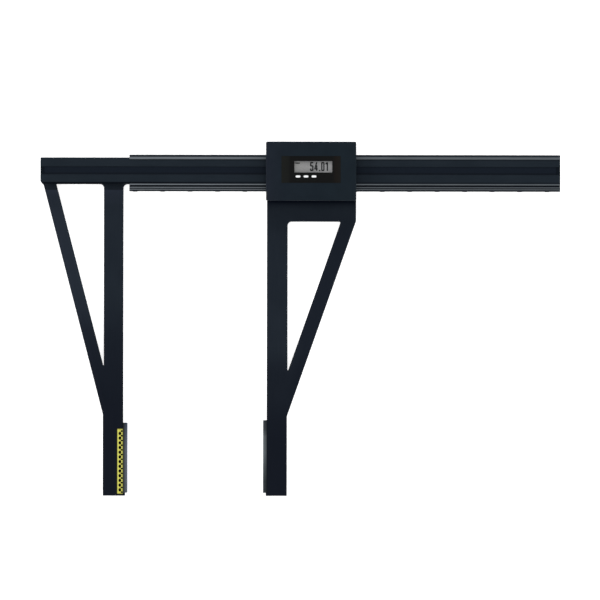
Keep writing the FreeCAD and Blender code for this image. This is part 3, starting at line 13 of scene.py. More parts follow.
import bmesh
import bpy
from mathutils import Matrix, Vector


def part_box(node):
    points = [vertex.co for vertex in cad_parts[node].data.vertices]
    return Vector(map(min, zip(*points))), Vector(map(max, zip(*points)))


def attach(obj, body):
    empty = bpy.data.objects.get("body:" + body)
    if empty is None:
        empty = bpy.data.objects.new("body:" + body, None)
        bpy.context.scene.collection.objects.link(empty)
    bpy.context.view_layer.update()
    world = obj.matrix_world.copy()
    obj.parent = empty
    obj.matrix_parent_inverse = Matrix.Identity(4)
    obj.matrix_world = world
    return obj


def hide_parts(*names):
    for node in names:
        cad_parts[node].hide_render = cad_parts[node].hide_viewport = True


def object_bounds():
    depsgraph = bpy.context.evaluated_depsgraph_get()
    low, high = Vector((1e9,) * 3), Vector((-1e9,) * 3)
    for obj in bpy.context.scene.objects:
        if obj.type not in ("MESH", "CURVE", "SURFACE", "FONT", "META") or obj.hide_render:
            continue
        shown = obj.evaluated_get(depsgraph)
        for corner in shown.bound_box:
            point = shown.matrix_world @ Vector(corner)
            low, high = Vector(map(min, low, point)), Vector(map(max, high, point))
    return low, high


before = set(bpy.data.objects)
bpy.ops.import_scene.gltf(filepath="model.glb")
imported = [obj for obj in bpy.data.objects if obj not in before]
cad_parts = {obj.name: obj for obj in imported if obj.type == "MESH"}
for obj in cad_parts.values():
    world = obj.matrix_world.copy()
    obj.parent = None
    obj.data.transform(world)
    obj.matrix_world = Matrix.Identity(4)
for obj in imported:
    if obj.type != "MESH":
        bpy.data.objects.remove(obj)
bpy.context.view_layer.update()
MM = 0.001

# %% [markdown]
# Colours are easiest to judge as they look on screen, from 0 to 255. A shader works
# with linear light instead, so one small function turns the first into the second.

# %% Colours as they look on screen


def screen(red, green, blue):
    """A colour given from 0 to 255, as the linear value that a shader takes."""
    values = []
    for channel in (red, green, blue):
        level = channel / 255
        low = level / 12.92
        values.append(low if level <= 0.04045 else ((level + 0.055) / 1.055) ** 2.4)
    return (*values, 1.0)


# %% [markdown]
# Every finish here is built from the same few ideas. Noise read from the object's own
# coordinates gives colour variation, stretched noise gives the lines that a die or a
# grinding wheel leaves, and a bevel test finds the edges, which take wear and a painted
# edge highlight and shade. A small class keeps those ideas in one place, so that each
# finish below reads as a short recipe. It could also be one node group, but separate
# nodes are simpler to look at later. The two ranges are the levels between which noise
# mostly stays, and how far a bevelled normal has turned away where the edge mask starts
# and where it is full.

# %% A recipe book for finishes
NOISE_RANGE = (0.3, 0.7)
EDGE_MASK_RANGE = (0.99, 0.75)


class Finish:
    """A material whose nodes are added step by step."""

    def __init__(self, name, roughness, metallic=0.0, specular=0.5):
        self.material = bpy.data.materials.new(name)
        self.material.use_nodes = True
        self.tree = self.material.node_tree
        self.shader = self.tree.nodes["Principled BSDF"]
        self.set("Roughness", roughness)
        self.set("Metallic", metallic)
        self.set("Specular IOR Level", specular)
        self.place = self.tree.nodes.new("ShaderNodeTexCoord").outputs["Object"]
        self.relief = None

    def set(self, socket, value):
        """A value that is the same all over the surface."""
        self.shader.inputs[socket].default_value = value

    def add(self, kind, **values):
        """A node with some of its input values filled in."""
        node = self.tree.nodes.new(kind)
        for socket, value in values.items():
            node.inputs[socket].default_value = value
        return node

    def noise(self, size, stretch=(1, 1, 1), detail=3.0):
        """Noise whose spots are about this size, drawn out by the stretch."""
        mapping = self.add("ShaderNodeMapping")
        mapping.inputs["Scale"].default_value = [1 / part for part in stretch]
        self.tree.links.new(self.place, mapping.inputs["Vector"])
        texture = self.add("ShaderNodeTexNoise", Scale=1 / size, Detail=detail)
        self.tree.links.new(mapping.outputs["Vector"], texture.inputs["Vector"])
        return texture.outputs["Fac"]

    def ramp(self, factor, stops, interpolation="LINEAR"):
        """Colours at places from 0 to 1 of a factor."""
        node = self.tree.nodes.new("ShaderNodeValToRGB")
        node.color_ramp.interpolation = interpolation
        elements = node.color_ramp.elements
        while len(elements) < len(stops):
            elements.new(0.5)
        for element, (place, colour) in zip(elements, sorted(stops, key=lambda s: s[0])):
            element.position = place
            element.color = colour
        self.tree.links.new(factor, node.inputs["Fac"])
        return node.outputs["Color"]

    def levels(self, factor, stops, interpolation="LINEAR"):
        """A factor that has these levels at places from 0 to 1 of another factor."""
        greys = [(place, (level, level, level, 1.0)) for place, level in stops]
        return self.ramp(factor, greys, interpolation)

    def along(self, axis, start, end):
        """A factor that grows from 0 to 1 between two places on an axis."""
        split = self.add("ShaderNodeSeparateXYZ")
        self.tree.links.new(self.place, split.inputs["Vector"])
        reach = self.tree.nodes.new("ShaderNodeMapRange")
        reach.inputs["From Min"].default_value = start
        reach.inputs["From Max"].default_value = end
        self.tree.links.new(split.outputs[axis], reach.inputs["Value"])
        return reach.outputs["Result"]

    def facing(self, axis, start=0.3, end=0.6):
        """A factor that is 1 on faces that look along an axis."""
        normal = self.tree.nodes.new("ShaderNodeTexCoord").outputs["Normal"]
        split = self.tree.nodes.new("ShaderNodeSeparateXYZ")
        self.tree.links.new(normal, split.inputs["Vector"])
        reach = self.tree.nodes.new("ShaderNodeMapRange")
        reach.inputs["From Min"].default_value = start
        reach.inputs["From Max"].default_value = end
        self.tree.links.new(split.outputs[axis], reach.inputs["Value"])
        return reach.outputs["Result"]

    def both(self, first, second):
        """A factor that is high only where both of these are."""
        node = self.tree.nodes.new("ShaderNodeMath")
        node.operation = "MULTIPLY"
        self.tree.links.new(first, node.inputs[0])
        self.tree.links.new(second, node.inputs[1])
        return node.outputs[0]

    def mix(self, factor, first, second, blend="MIX"):
        """Two colours mixed by a factor, which may be a number or an output."""
        node = self.tree.nodes.new("ShaderNodeMix")
        node.data_type = "RGBA"
        node.blend_type = blend
        for index, value in ((0, factor), (6, first), (7, second)):
            if isinstance(value, bpy.types.NodeSocket):
                self.tree.links.new(value, node.inputs[index])
            else:
                node.inputs[index].default_value = value
        return node.outputs[2]

    def edge_wear_and_shading(self, radius, strength):
        """A mask of the edges, for rubbed wear, painted edge highlight and painted edge shade."""
        bevel = self.add("ShaderNodeBevel", Radius=radius)
        bevel.samples = 4
        geometry = self.tree.nodes.new("ShaderNodeNewGeometry")
        match = self.tree.nodes.new("ShaderNodeVectorMath")
        match.operation = "DOT_PRODUCT"
        self.tree.links.new(bevel.outputs["Normal"], match.inputs[0])
        self.tree.links.new(geometry.outputs["Normal"], match.inputs[1])
        reach = self.tree.nodes.new("ShaderNodeMapRange")
        reach.inputs["From Min"].default_value = EDGE_MASK_RANGE[0]
        reach.inputs["From Max"].default_value = EDGE_MASK_RANGE[1]
        reach.inputs["To Max"].default_value = strength
        self.tree.links.new(match.outputs["Value"], reach.inputs["Value"])
        return reach.outputs["Result"]

    def colour(self, source):
        """The base colour, from an output or as one value."""
        if isinstance(source, bpy.types.NodeSocket):
            self.tree.links.new(source, self.shader.inputs["Base Color"])
        else:
            self.set("Base Color", source)

    def rough(self, factor, low, high):
        """Roughness that follows a factor."""
        reach = self.tree.nodes.new("ShaderNodeMapRange")
        reach.inputs["From Min"].default_value = NOISE_RANGE[0]
        reach.inputs["From Max"].default_value = NOISE_RANGE[1]
        reach.inputs["To Min"].default_value = low
        reach.inputs["To Max"].default_value = high
        self.tree.links.new(factor, reach.inputs["Value"])
        self.tree.links.new(reach.outputs["Result"], self.shader.inputs["Roughness"])

    def bump(self, height, depth, strength=0.5):
        """Fine relief, added on top of what is there."""
        node = self.add("ShaderNodeBump", Strength=strength, Distance=depth)
        self.tree.links.new(height, node.inputs["Height"])
        if self.relief:
            self.tree.links.new(self.relief, node.inputs["Normal"])
        self.relief = node.outputs["Normal"]
        self.tree.links.new(self.relief, self.shader.inputs["Normal"])


# %% [markdown]
# Anodised aluminium is the main finish. The dye is a very dark blue-black, and under
# it the metal still reflects, so the shader is part metal with a dark base. An
# extruded beam keeps the faint lines of its die along its length, so the noise is
# drawn out along X. The edges are rubbed lighter, partly as wear and partly as a
# painted highlight. The channel's floor is a shade darker than the face, as painted
# shade in that recess. A thin painted shadow line runs just above the lower rail,
# where the rail laps over the beam, and it fades towards the right.

# %% The extruded beam
LOWER_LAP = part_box("lower_guide_rail")[1].y
FACE_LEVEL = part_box("beam_extrusion")[1].z
DYE = screen(31, 39, 47)
DYE_LIGHT = screen(35, 43, 51)
DYE_DARK = screen(24, 31, 39)
WORN_AND_LIT_EDGE = screen(78, 86, 94)
CHANNEL_SHADE = screen(16, 23, 31)
RAIL_SHADOW = screen(6, 12, 20)
CHANNEL_STEP = (0.4 * MM, 0.8 * MM)
RAIL_SHADOW_REACH = 2 * MM
FADE_REACH = 0.3


def anodised(name, first, second, stretch, roughness, specular):
    """Dyed aluminium with soft clouds and with lines along one direction."""
    finish = Finish(name, roughness, metallic=0.55, specular=specular)
    clouds = finish.ramp(finish.noise(30 * MM), [(0.35, first), (0.65, second)])
    lines = finish.noise(0.6 * MM, stretch)
    tone = finish.mix(0.25, clouds, finish.ramp(lines, [(0.3, DYE_DARK), (0.7, DYE_LIGHT)]))
    finish.rough(lines, roughness - 0.06, roughness + 0.08)
    finish.bump(lines, 0.02 * MM, 0.25)
    finish.bump(finish.noise(0.25 * MM), 0.01 * MM, 0.2)
    return finish, tone


beam_finish, tone = anodised("beam_anodised", DYE, DYE_LIGHT, (60, 1, 1), 0.46, 0.1)
# Rubbed edges: lighter, partly wear and partly a painted highlight.
tone = beam_finish.mix(beam_finish.edge_wear_and_shading(0.25 * MM, 0.35), tone, WORN_AND_LIT_EDGE)
# Painted shadow: a dark line just above the lower rail, fading towards the right.
line = beam_finish.levels(
    beam_finish.along("Y", LOWER_LAP, LOWER_LAP + RAIL_SHADOW_REACH),
    [(0.0, 1.0), (0.55, 1.0), (0.72, 0.0)])
fade = beam_finish.levels(beam_finish.along("X", 0.0, FADE_REACH), [(0.0, 1.0), (1.0, 0.3)])
tone = beam_finish.mix(beam_finish.both(line, fade), tone, RAIL_SHADOW)
# Painted shade: the recessed floor of the channel, on faces that look forward, is darker.
step_down = beam_finish.along("Z", FACE_LEVEL - CHANNEL_STEP[0], FACE_LEVEL - CHANNEL_STEP[1])
channel = beam_finish.both(step_down, beam_finish.facing("Z"))
beam_finish.colour(beam_finish.mix(channel, tone, CHANNEL_SHADE))
print("beam finish has", len(beam_finish.tree.nodes), "nodes")

# %% [markdown]
# The jaws are cut from flat plate by a milling cutter, which leaves fine lines along
# each leg, so their noise is drawn out along Y. In the photograph the tips sit a shade
# darker than the rest. The left brace is lighter than its leg, and the right one
# darker. The left jaw has painted light where it comes out from under the beam, and
# the right one a painted shadow along the cover's lower edge. Slow ramps along X and Y
# give all of these, and only the painted shadow and light are kept to the faces that
# look forward.

# %% The milled jaw plates
JAW_DYE = screen(34, 41, 50)
JAW_DYE_DARK = screen(31, 38, 47)
TIP_DYE = screen(19, 24, 34)
ROOT_LIGHT = screen(47, 54, 67)
COVER_SHADOW = screen(6, 13, 26)
TIP_REACH = 200
ROOT_LIGHT_REACH = 22 * MM
COVER_SHADOW_BELOW = 8 * MM
COVER_SHADOW_ABOVE = 1.5 * MM
BEAM_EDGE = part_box("beam_extrusion")[0].y
CARRIAGE_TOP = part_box("sliding_jaw")[1].y
COVER_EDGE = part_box("display_cover")[0].y


def jaw_plate(name, brace_side, brace_top, brace_tone, tip):
    """Milled plate with its own tone on the brace and a slow change to the dark tip.

    The brace's tone comes in between two places along X and two along Y. The tip is a
    list of heights in millimetres, each with how much of the dark tone shows there.
    """
    finish, tone = anodised(name, JAW_DYE, JAW_DYE_DARK, (1, 40, 1), 0.48, 0.1)
    brace = finish.both(finish.along("X", *brace_side), finish.along("Y", *brace_top))
    tone = finish.mix(brace, tone, brace_tone)
    stops = [(height / TIP_REACH, share) for height, share in tip]
    dark = finish.levels(finish.along("Y", 0.0, TIP_REACH * MM), stops)
    return finish, finish.mix(dark, tone, TIP_DYE)


def painted_front_band(finish, tone, start, end, stops, painted_colour):
    """The tone with a colour of painted light and shade in a band between two places along Y, on
    the front only.
    """
    band = finish.levels(finish.along("Y", start, end), stops)
    return finish.mix(finish.both(band, finish.facing("Z")), tone, painted_colour)


def rubbed_and_lit(finish, tone):
    """Gives a finish this tone, with its edges rubbed lighter and given a painted highlight."""
    finish.colour(finish.mix(finish.edge_wear_and_shading(0.3 * MM, 0.3), tone, WORN_AND_LIT_EDGE))


fixed_jaw_finish, tone = jaw_plate(
    "fixed_jaw_anodised", brace_side=(-0.025, -0.04), brace_top=(0.262, 0.246),
    brace_tone=screen(38, 45, 55),
    tip=[(28, 1.0), (53, 0.95), (88, 0.78), (108, 0.7), (128, 0.55), (148, 0.15), (168, 0.0)])
# Painted light: the left jaw is lightened on the front just below the beam's lower edge.
tone = painted_front_band(
    fixed_jaw_finish, tone, BEAM_EDGE - ROOT_LIGHT_REACH, BEAM_EDGE,
    [(0.0, 0.0), (0.35, 0.35), (0.72, 1.0), (0.76, 0.0)], ROOT_LIGHT)
rubbed_and_lit(fixed_jaw_finish, tone)

sliding_jaw_finish, tone = jaw_plate(
    "sliding_jaw_anodised", brace_side=(0.162, 0.175),
    brace_top=(CARRIAGE_TOP - 0.07, CARRIAGE_TOP - 0.09), brace_tone=screen(26, 32, 42),
    tip=[(18, 1.0), (38, 0.9), (58, 0.65), (83, 0.6), (91, 0.5), (106, 0.05), (112, 0.0)])
# Painted shadow: the right jaw is darkened on the front in a band along the cover's lower edge.
tone = painted_front_band(
    sliding_jaw_finish, tone, COVER_EDGE - COVER_SHADOW_BELOW, COVER_EDGE + COVER_SHADOW_ABOVE,
    [(0.0, 0.0), (0.3, 0.2), (0.61, 0.7), (0.72, 1.0), (0.9, 1.0), (1.0, 0.0)], COVER_SHADOW)
rubbed_and_lit(sliding_jaw_finish, tone)

block_finish, tone = anodised("block_anodised", DYE_DARK, DYE, (20, 1, 1), 0.48, 0.1)
rubbed_and_lit(block_finish, tone)
print("jaw and block finishes are ready")

# %% [markdown]
# The cover is a cast housing with a fine satin paint. Paint has a slight orange peel,
# which is a low, soft bump half a millimetre across. Its left side reads lighter and
# more violet than the rest, so the base follows a slow ramp along X.

# %% The painted cover
COVER_LOW, COVER_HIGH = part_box("display_cover")
cover_finish = Finish("cover_paint", 0.5, metallic=0.1, specular=0.1)
drift = cover_finish.along("X", COVER_LOW.x, COVER_HIGH.x)
tone = cover_finish.ramp(
    drift, [(0.0, screen(28, 32, 43)), (0.2, screen(20, 28, 37)), (0.6, screen(18, 28, 36)),
            (1.0, screen(19, 29, 36))])
spots = cover_finish.ramp(
    cover_finish.noise(14 * MM), [(0.35, screen(17, 26, 34)), (0.65, screen(23, 33, 41))])
tone = cover_finish.mix(0.4, tone, spots)
# Painted shade: the cover's rounded edges are darkened.
tone = cover_finish.mix(cover_finish.edge_wear_and_shading(0.5 * MM, 0.6), tone, screen(10, 16, 19))
cover_finish.colour(tone)
cover_finish.rough(cover_finish.noise(2 * MM), 0.42, 0.55)
cover_finish.bump(cover_finish.noise(0.5 * MM), 0.02 * MM, 0.3)
print("cover finish has", len(cover_finish.tree.nodes), "nodes")

# %% [markdown]
# The rails are the only bright metal on the beam. Their lands are ground, which
# leaves very fine lines along X, while the sides and the grooves between the lands stay
# blued and dark. The places of lands and grooves are known across the rail, so a ramp
# along Y paints them on the front. These bands are partly the steel's own tones and
# partly painted reflection and shade: the grooves are painted as dark as the shade in
# them, and the top of the upper rail dark for the reflection its chamfer shows. The
# lands also carry a painted highlight that is brighter at the left than at the right.

# %% The ground rails
UPPER_LOW, UPPER_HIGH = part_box("upper_guide_rail")
LOWER_LOW, LOWER_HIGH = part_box("lower_guide_rail")
BLUED_AND_SHADED = screen(26, 32, 39)
GROUND_AND_LIT_LEFT = screen(150, 158, 166)
GROUND_AND_LIT_RIGHT = screen(124, 132, 138)
RAIL_RUN = 0.2
UPPER_BANDS = [(0.0, 0.0), (0.6, 0.85), (2.9, 0.0)]
LOWER_BANDS = [(0.0, 0.0), (1.5, 1.0), (2.4, 0.0), (3.4, 0.85), (4.3, 0.0), (6.35, 1.0), (7.4, 0.1)]


def ground_rail(name, low, high, bands):
    """Steel with ground lands.

    A band is the place in millimetres across the rail where it starts, and how bright
    it is from there on.
    """
    finish = Finish(name, 0.32, metallic=0.9, specular=0.5)
    # Painted highlight: the lands are brighter at the left end of the rail than at the right.
    run = finish.along("X", low.x, low.x + RAIL_RUN)
    land = finish.ramp(run, [(0.4, GROUND_AND_LIT_LEFT), (0.8, GROUND_AND_LIT_RIGHT)])
    lines = finish.noise(0.12 * MM, (200, 1, 1))
    land = finish.mix(0.3, land, finish.ramp(lines, [(0.3, BLUED_AND_SHADED), (0.7, GROUND_AND_LIT_LEFT)]))
    # Partly the steel's own tones and partly painted reflection and shade: bright lands, dark
    # grooves and chamfers.
    across = finish.along("Y", low.y, high.y)
    stops = [(place * MM / (high.y - low.y), level) for place, level in bands]
    bright = finish.both(finish.levels(across, stops, "CONSTANT"), finish.facing("Z"))
    finish.colour(finish.mix(bright, BLUED_AND_SHADED, land))
    finish.rough(lines, 0.26, 0.4)
    finish.bump(lines, 0.01 * MM, 0.3)
    return finish


upper_rail_finish = ground_rail("upper_rail_ground", UPPER_LOW, UPPER_HIGH, UPPER_BANDS)
lower_rail_finish = ground_rail("lower_rail_ground", LOWER_LOW, LOWER_HIGH, LOWER_BANDS)
print("rails are", round((UPPER_HIGH.x - UPPER_LOW.x) * 1000, 1), "mm long")

# %% [markdown]
# The measuring faces are hardened steel inserts. They are ground across, so their
# lines run along Y on the front and the faces stay smooth enough to measure with. The
# right one has a lighter middle, where the studio light falls on it. The left one has a
# painted shadow beside the ruler, with a little painted reflection of the ruler's yellow there.

# %% The gauge faces
FIXED_FACE_LOW, FIXED_FACE_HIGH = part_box("fixed_measuring_face")
SLIDING_FACE_LOW, SLIDING_FACE_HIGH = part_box("sliding_measuring_face")


def gauge_steel(name, low, high, stops, edge, left, right):
    """Ground steel with tones from the lower to the upper end, dimmed across.

    The edge is what it is dimmed by at the left side, the left is the same a little
    further in, and the right is the same at the right side.
    """
    finish = Finish(name, 0.38, metallic=0.85, specular=0.5)
    tone = finish.ramp(finish.along("Y", low.y, high.y), stops)
    lines = finish.noise(0.3 * MM, (1, 12, 1))
    speck = finish.ramp(lines, [(0.3, screen(62, 70, 80)), (0.7, screen(130, 138, 148))])
    tone = finish.mix(0.2, tone, speck)
    across = finish.along("X", low.x, high.x)
    slope = finish.ramp(
        across, [(0.0, edge), (0.28, (left, left, left, 1)), (1.0, (right, right, right, 1))])
    finish.colour(finish.mix(1.0, tone, slope, "MULTIPLY"))
    finish.rough(lines, 0.32, 0.46)
    finish.bump(lines, 0.01 * MM, 0.3)
    return finish


fixed_face_finish = gauge_steel(
    "fixed_face_steel", FIXED_FACE_LOW, FIXED_FACE_HIGH,
    [(0.0, screen(128, 136, 146)), (0.6, screen(136, 144, 158)), (0.85, screen(108, 118, 134)),
     (1.0, screen(82, 92, 106))],
    # Painted shadow and painted reflection: the left edge is dark and yellowish beside the ruler.
    edge=(0.15, 0.15, 0.04, 1.0), left=0.38, right=1.0)
sliding_face_finish = gauge_steel(
    "sliding_face_steel", SLIDING_FACE_LOW, SLIDING_FACE_HIGH,
    [(0.0, screen(52, 60, 63)), (0.15, screen(54, 62, 66)), (0.35, screen(96, 104, 108)),
     (0.55, screen(132, 140, 146)), (0.78, screen(126, 133, 138)), (0.86, screen(80, 86, 91)),
     (1.0, screen(60, 66, 71))],
    edge=(1.0, 1.0, 1.0, 1.0), left=0.83, right=0.4)
print("gauge faces are", round((FIXED_FACE_HIGH.y - FIXED_FACE_LOW.y) * 1000, 1), "mm high")

# %% [markdown]
# The small parts need quieter finishes: black oxide on the screws, bright steel on
# dowels and springs, rubber, bronze, brass, plastic and the green board. Each still
# gets its own grain, because a single flat colour never looks like a material.

# %% The quieter finishes


def grained(name, first, second, size, roughness, metallic=0.0, specular=0.4,
            stretch=(1, 1, 1), depth=0.02):
    """A finish that wanders between two tones, with relief of the same grain."""
    finish = Finish(name, roughness, metallic, specular)
    grain = finish.noise(size * MM, stretch)
    finish.colour(finish.ramp(grain, [(0.35, first), (0.65, second)]))
    finish.rough(grain, roughness - 0.05, roughness + 0.08)
    finish.bump(grain, depth * MM, 0.4)
    return finish


screw_finish = grained("screw_black_oxide", screen(24, 25, 28), screen(36, 38, 42), 0.4,
                       0.4, 0.8)
dowel_finish = grained("dowel_ground", screen(150, 152, 156), screen(170, 172, 176), 0.2,
                       0.3, 0.95, stretch=(1, 1, 8))
spring_finish = grained("spring_steel", screen(120, 122, 128), screen(150, 152, 158), 0.3,
                        0.35, 0.9)
rubber_finish = grained("rubber", screen(14, 14, 15), screen(24, 24, 25), 0.3, 0.75,
                        specular=0.2)
polymer_finish = grained("glide_polymer", screen(52, 54, 52), screen(66, 68, 66), 0.5, 0.5)
bronze_finish = grained("bronze", screen(140, 102, 58), screen(176, 132, 82), 0.5, 0.35,
                        0.9, stretch=(12, 1, 1))
brass_finish = grained("brass", screen(188, 150, 82), screen(214, 178, 106), 0.4, 0.3, 0.95)
plastic_finish = grained("moulded_plastic", screen(18, 18, 20), screen(28, 28, 31), 0.3,
                         0.5, specular=0.3)
board_finish = grained("board_laminate", screen(14, 68, 40), screen(24, 88, 54), 0.8, 0.4,
                       stretch=(6, 1, 1))
chip_finish = grained("chip_epoxy", screen(20, 20, 22), screen(30, 30, 33), 0.15, 0.6)
shield_finish = grained("plated_steel", screen(180, 182, 184), screen(206, 208, 210), 0.5,
                        0.3, 0.95, stretch=(1, 10, 1))
key_finish = grained("key_white", screen(238, 240, 241), screen(250, 251, 252), 0.6, 0.45,
                     specular=0.3, depth=0.01)
plug_finish = grained("plug_polymer", screen(16, 17, 19), screen(25, 26, 29), 0.4, 0.55)
print(len(bpy.data.materials), "materials so far")

# %% [markdown]
# The film in the channel hides the coded scale. It is matt and slightly darker than
# the beam, and its lower edge lies in the shadow of the channel's side.

# %% The scale film
SCALE_LOW, SCALE_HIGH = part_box("scale_strip")
scale_finish = Finish("scale_film", 0.6, specular=0.08)
across = scale_finish.along("Y", SCALE_LOW.y, SCALE_HIGH.y)
tone = scale_finish.ramp(
    across, [(0.0, screen(8, 15, 24)), (0.2, screen(10, 17, 26)), (0.28, screen(13, 21, 31)),
             (1.0, screen(13, 21, 31))])
lines = scale_finish.noise(0.5 * MM, (30, 1, 1))
grain = scale_finish.ramp(lines, [(0.3, screen(11, 18, 28)), (0.7, screen(17, 25, 35))])
scale_finish.colour(scale_finish.mix(0.2, tone, grain))
scale_finish.bump(lines, 0.01 * MM, 0.3)
print("scale film is", round((SCALE_HIGH.y - SCALE_LOW.y) * 1000, 1), "mm wide")

# %% [markdown]
# The display panel is a matt film over the cover's recess. It is a near-black that is a
# little lighter at both sides, and faintly brown at the right one. The display behind
# it is a grey reflective liquid crystal, with painted light at its two ends that evens
# out the shade of the window's frame. The window over it is a thin dark tint, because a
# pale one would lay a veil over the figures.

# %% The display's film, glass and window
OVERLAY_LOW, OVERLAY_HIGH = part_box("display_overlay")
overlay_finish = Finish("overlay_film", 0.55, specular=0.08)
drift = overlay_finish.along("X", OVERLAY_LOW.x, OVERLAY_HIGH.x)
tone = overlay_finish.ramp(
    drift, [(0.0, screen(24, 26, 24)), (0.12, screen(20, 22, 21)), (0.15, screen(11, 12, 13)),
            (0.86, screen(11, 12, 12)), (0.92, screen(22, 18, 15)), (1.0, screen(24, 23, 21))])
grain = overlay_finish.ramp(
    overlay_finish.noise(0.3 * MM), [(0.3, screen(8, 8, 9)), (0.7, screen(20, 20, 20))])
overlay_finish.colour(overlay_finish.mix(0.25, tone, grain))
overlay_finish.bump(overlay_finish.noise(0.2 * MM), 0.01 * MM, 0.3)

LCD_LOW, LCD_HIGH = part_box("lcd_glass")
WINDOW_TINT = 0.08
lcd_finish = Finish("liquid_crystal", 0.4, specular=0.15)
drift = lcd_finish.along("X", LCD_LOW.x, LCD_HIGH.x)
# Painted light: the liquid crystal is lighter towards both ends.
tone = lcd_finish.ramp(
    drift, [(0.0, screen(174, 174, 173)), (0.12, screen(161, 161, 160)),
            (0.5, screen(154, 154, 155)), (0.85, screen(164, 164, 165)),
            (1.0, screen(184, 184, 185))])
grain = lcd_finish.ramp(
    lcd_finish.noise(0.2 * MM), [(0.3, screen(140, 140, 140)), (0.7, screen(168, 168, 168))])
lcd_finish.colour(lcd_finish.mix(0.3, tone, grain))

segment_finish = grained("segment_dark", screen(2, 2, 3), screen(8, 9, 10), 0.2, 0.7,
                         specular=0.02, depth=0.005)
window_finish = grained("window_clear", screen(70, 74, 75), screen(82, 86, 87), 3,
                        0.12, specular=0.5, depth=0.005)
window_finish.set("Alpha", WINDOW_TINT)
print("display is", round((LCD_HIGH.x - LCD_LOW.x) * 1000, 1), "mm wide")

# %% [markdown]
# The little ruler beside the fixed face is bright yellow paint on a steel strip. The
# paint has gone a little darker and greener along its edges.

# %% Ruler paint and ink
RULER_LOW, RULER_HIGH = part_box("depth_ruler")
ruler_finish = Finish("ruler_yellow", 0.45, specular=0.25)
across = ruler_finish.along("X", RULER_LOW.x, RULER_HIGH.x)
tone = ruler_finish.ramp(
    across, [(0.0, screen(66, 66, 16)), (0.06, screen(150, 150, 70)), (0.14, screen(214, 212, 104)),
             (0.45, screen(190, 184, 66)), (0.75, screen(214, 212, 106)),
             (0.88, screen(170, 170, 84)), (1.0, screen(56, 58, 14))])
blotch = ruler_finish.ramp(
    ruler_finish.noise(2.5 * MM), [(0.35, screen(176, 172, 64)), (0.65, screen(206, 204, 98))])
tone = ruler_finish.mix(0.25, tone, blotch)
ends = ruler_finish.levels(
    ruler_finish.along("Y", RULER_LOW.y, RULER_HIGH.y),
    [(0.0, 1.0), (0.015, 0.0), (0.98, 0.0), (1.0, 1.0)])
ruler_finish.colour(ruler_finish.mix(ends, tone, screen(52, 52, 14)))
ruler_finish.bump(ruler_finish.noise(0.3 * MM), 0.01 * MM, 0.3)
ink_finish = grained("ruler_ink", screen(6, 6, 3), screen(14, 13, 6), 0.3, 0.6,
                     specular=0.03, depth=0.005)
print("ruler is", round((RULER_HIGH.y - RULER_LOW.y) * 1000, 1), "mm long")

# %% [markdown]
# Now each CAD node takes its finish. A dictionary from finish to nodes says it in
# one place, and a last test makes sure that no node was forgotten.

# %% Finishes go onto the CAD nodes
WEARERS = {
    beam_finish: ["beam_extrusion"],
    fixed_jaw_finish: ["fixed_jaw"],
    sliding_jaw_finish: ["sliding_jaw"],
    block_finish: ["upper_guide_block", "lower_guide_block", "front_plate", "end_stop_block"],
    upper_rail_finish: ["upper_guide_rail"],
    lower_rail_finish: ["lower_guide_rail"],
    screw_finish: ["upper_rail_screws", "lower_rail_screws", "fixed_jaw_screws",
                   "guide_block_screws", "cover_screws", "front_plate_screws",
                   "wiper_screws", "end_stop_screws", "gib_set_screws",
                   "fixed_face_screws", "sliding_face_screws", "board_screws",
                   "lock_screw"],
    dowel_finish: ["fixed_jaw_dowels", "guide_block_dowels"],
    spring_finish: ["gib_springs"],
    fixed_face_finish: ["fixed_measuring_face"],
    sliding_face_finish: ["sliding_measuring_face"],
    scale_finish: ["scale_strip"],
    plug_finish: ["beam_end_plugs"],
    ruler_finish: ["depth_ruler"],
    rubber_finish: ["end_stop_bumper", "cover_gasket", "end_wipers", "button_membrane"],
    polymer_finish: ["rear_glide_pads", "front_glide_pads", "lower_glide_pads"],
    bronze_finish: ["gib_strip", "lock_bush", "lock_pad"],
    cover_finish: ["display_cover"],
    overlay_finish: ["display_overlay"],
    window_finish: ["display_window"],
    lcd_finish: ["lcd_glass"],
    plastic_finish: ["lcd_frame", "button_switches", "read_head", "battery_tray"],
    board_finish: ["circuit_board"],
    chip_finish: ["board_chips"],
    shield_finish: ["radio_module", "battery_cell"],
    brass_finish: ["board_standoffs", "battery_contacts"],
    key_finish: ["left_button", "middle_button", "right_button"],
}
dressed = set()
for finish, names in WEARERS.items():
    for name in names:
        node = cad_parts[name]
        node.data.materials.clear()
        node.data.materials.append(finish.material)
        dressed.add(name)
assert dressed == set(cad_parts), set(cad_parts) ^ dressed
print(len(dressed), "nodes dressed")

# %% [markdown]
# Screws repeat, so one screw is modelled and Geometry Nodes place the rest. A turned
# part with a hexagon socket is a stack of rings with the same number of points: most
# rings are round, and the socket's rings follow a hexagon. Joining neighbouring rings
# gives the whole screw in one closed skin, with a knurled rim where it is wanted.

# %% One screw from a stack of rings
RING_POINTS = 24
CHAMFER = 0.12
KNURL_DEPTH = 0.04


def ring_radius(kind, radius, step):
    """How far point number step of a ring lies from the axis."""
    if kind == "hexagon":
        angle = (step * 360 / RING_POINTS) % 60 - 30
        return radius / math.cos(math.radians(angle))
    if kind == "knurl":
        return radius * (1.0 if step % 2 else 1.0 - KNURL_DEPTH)
    return radius


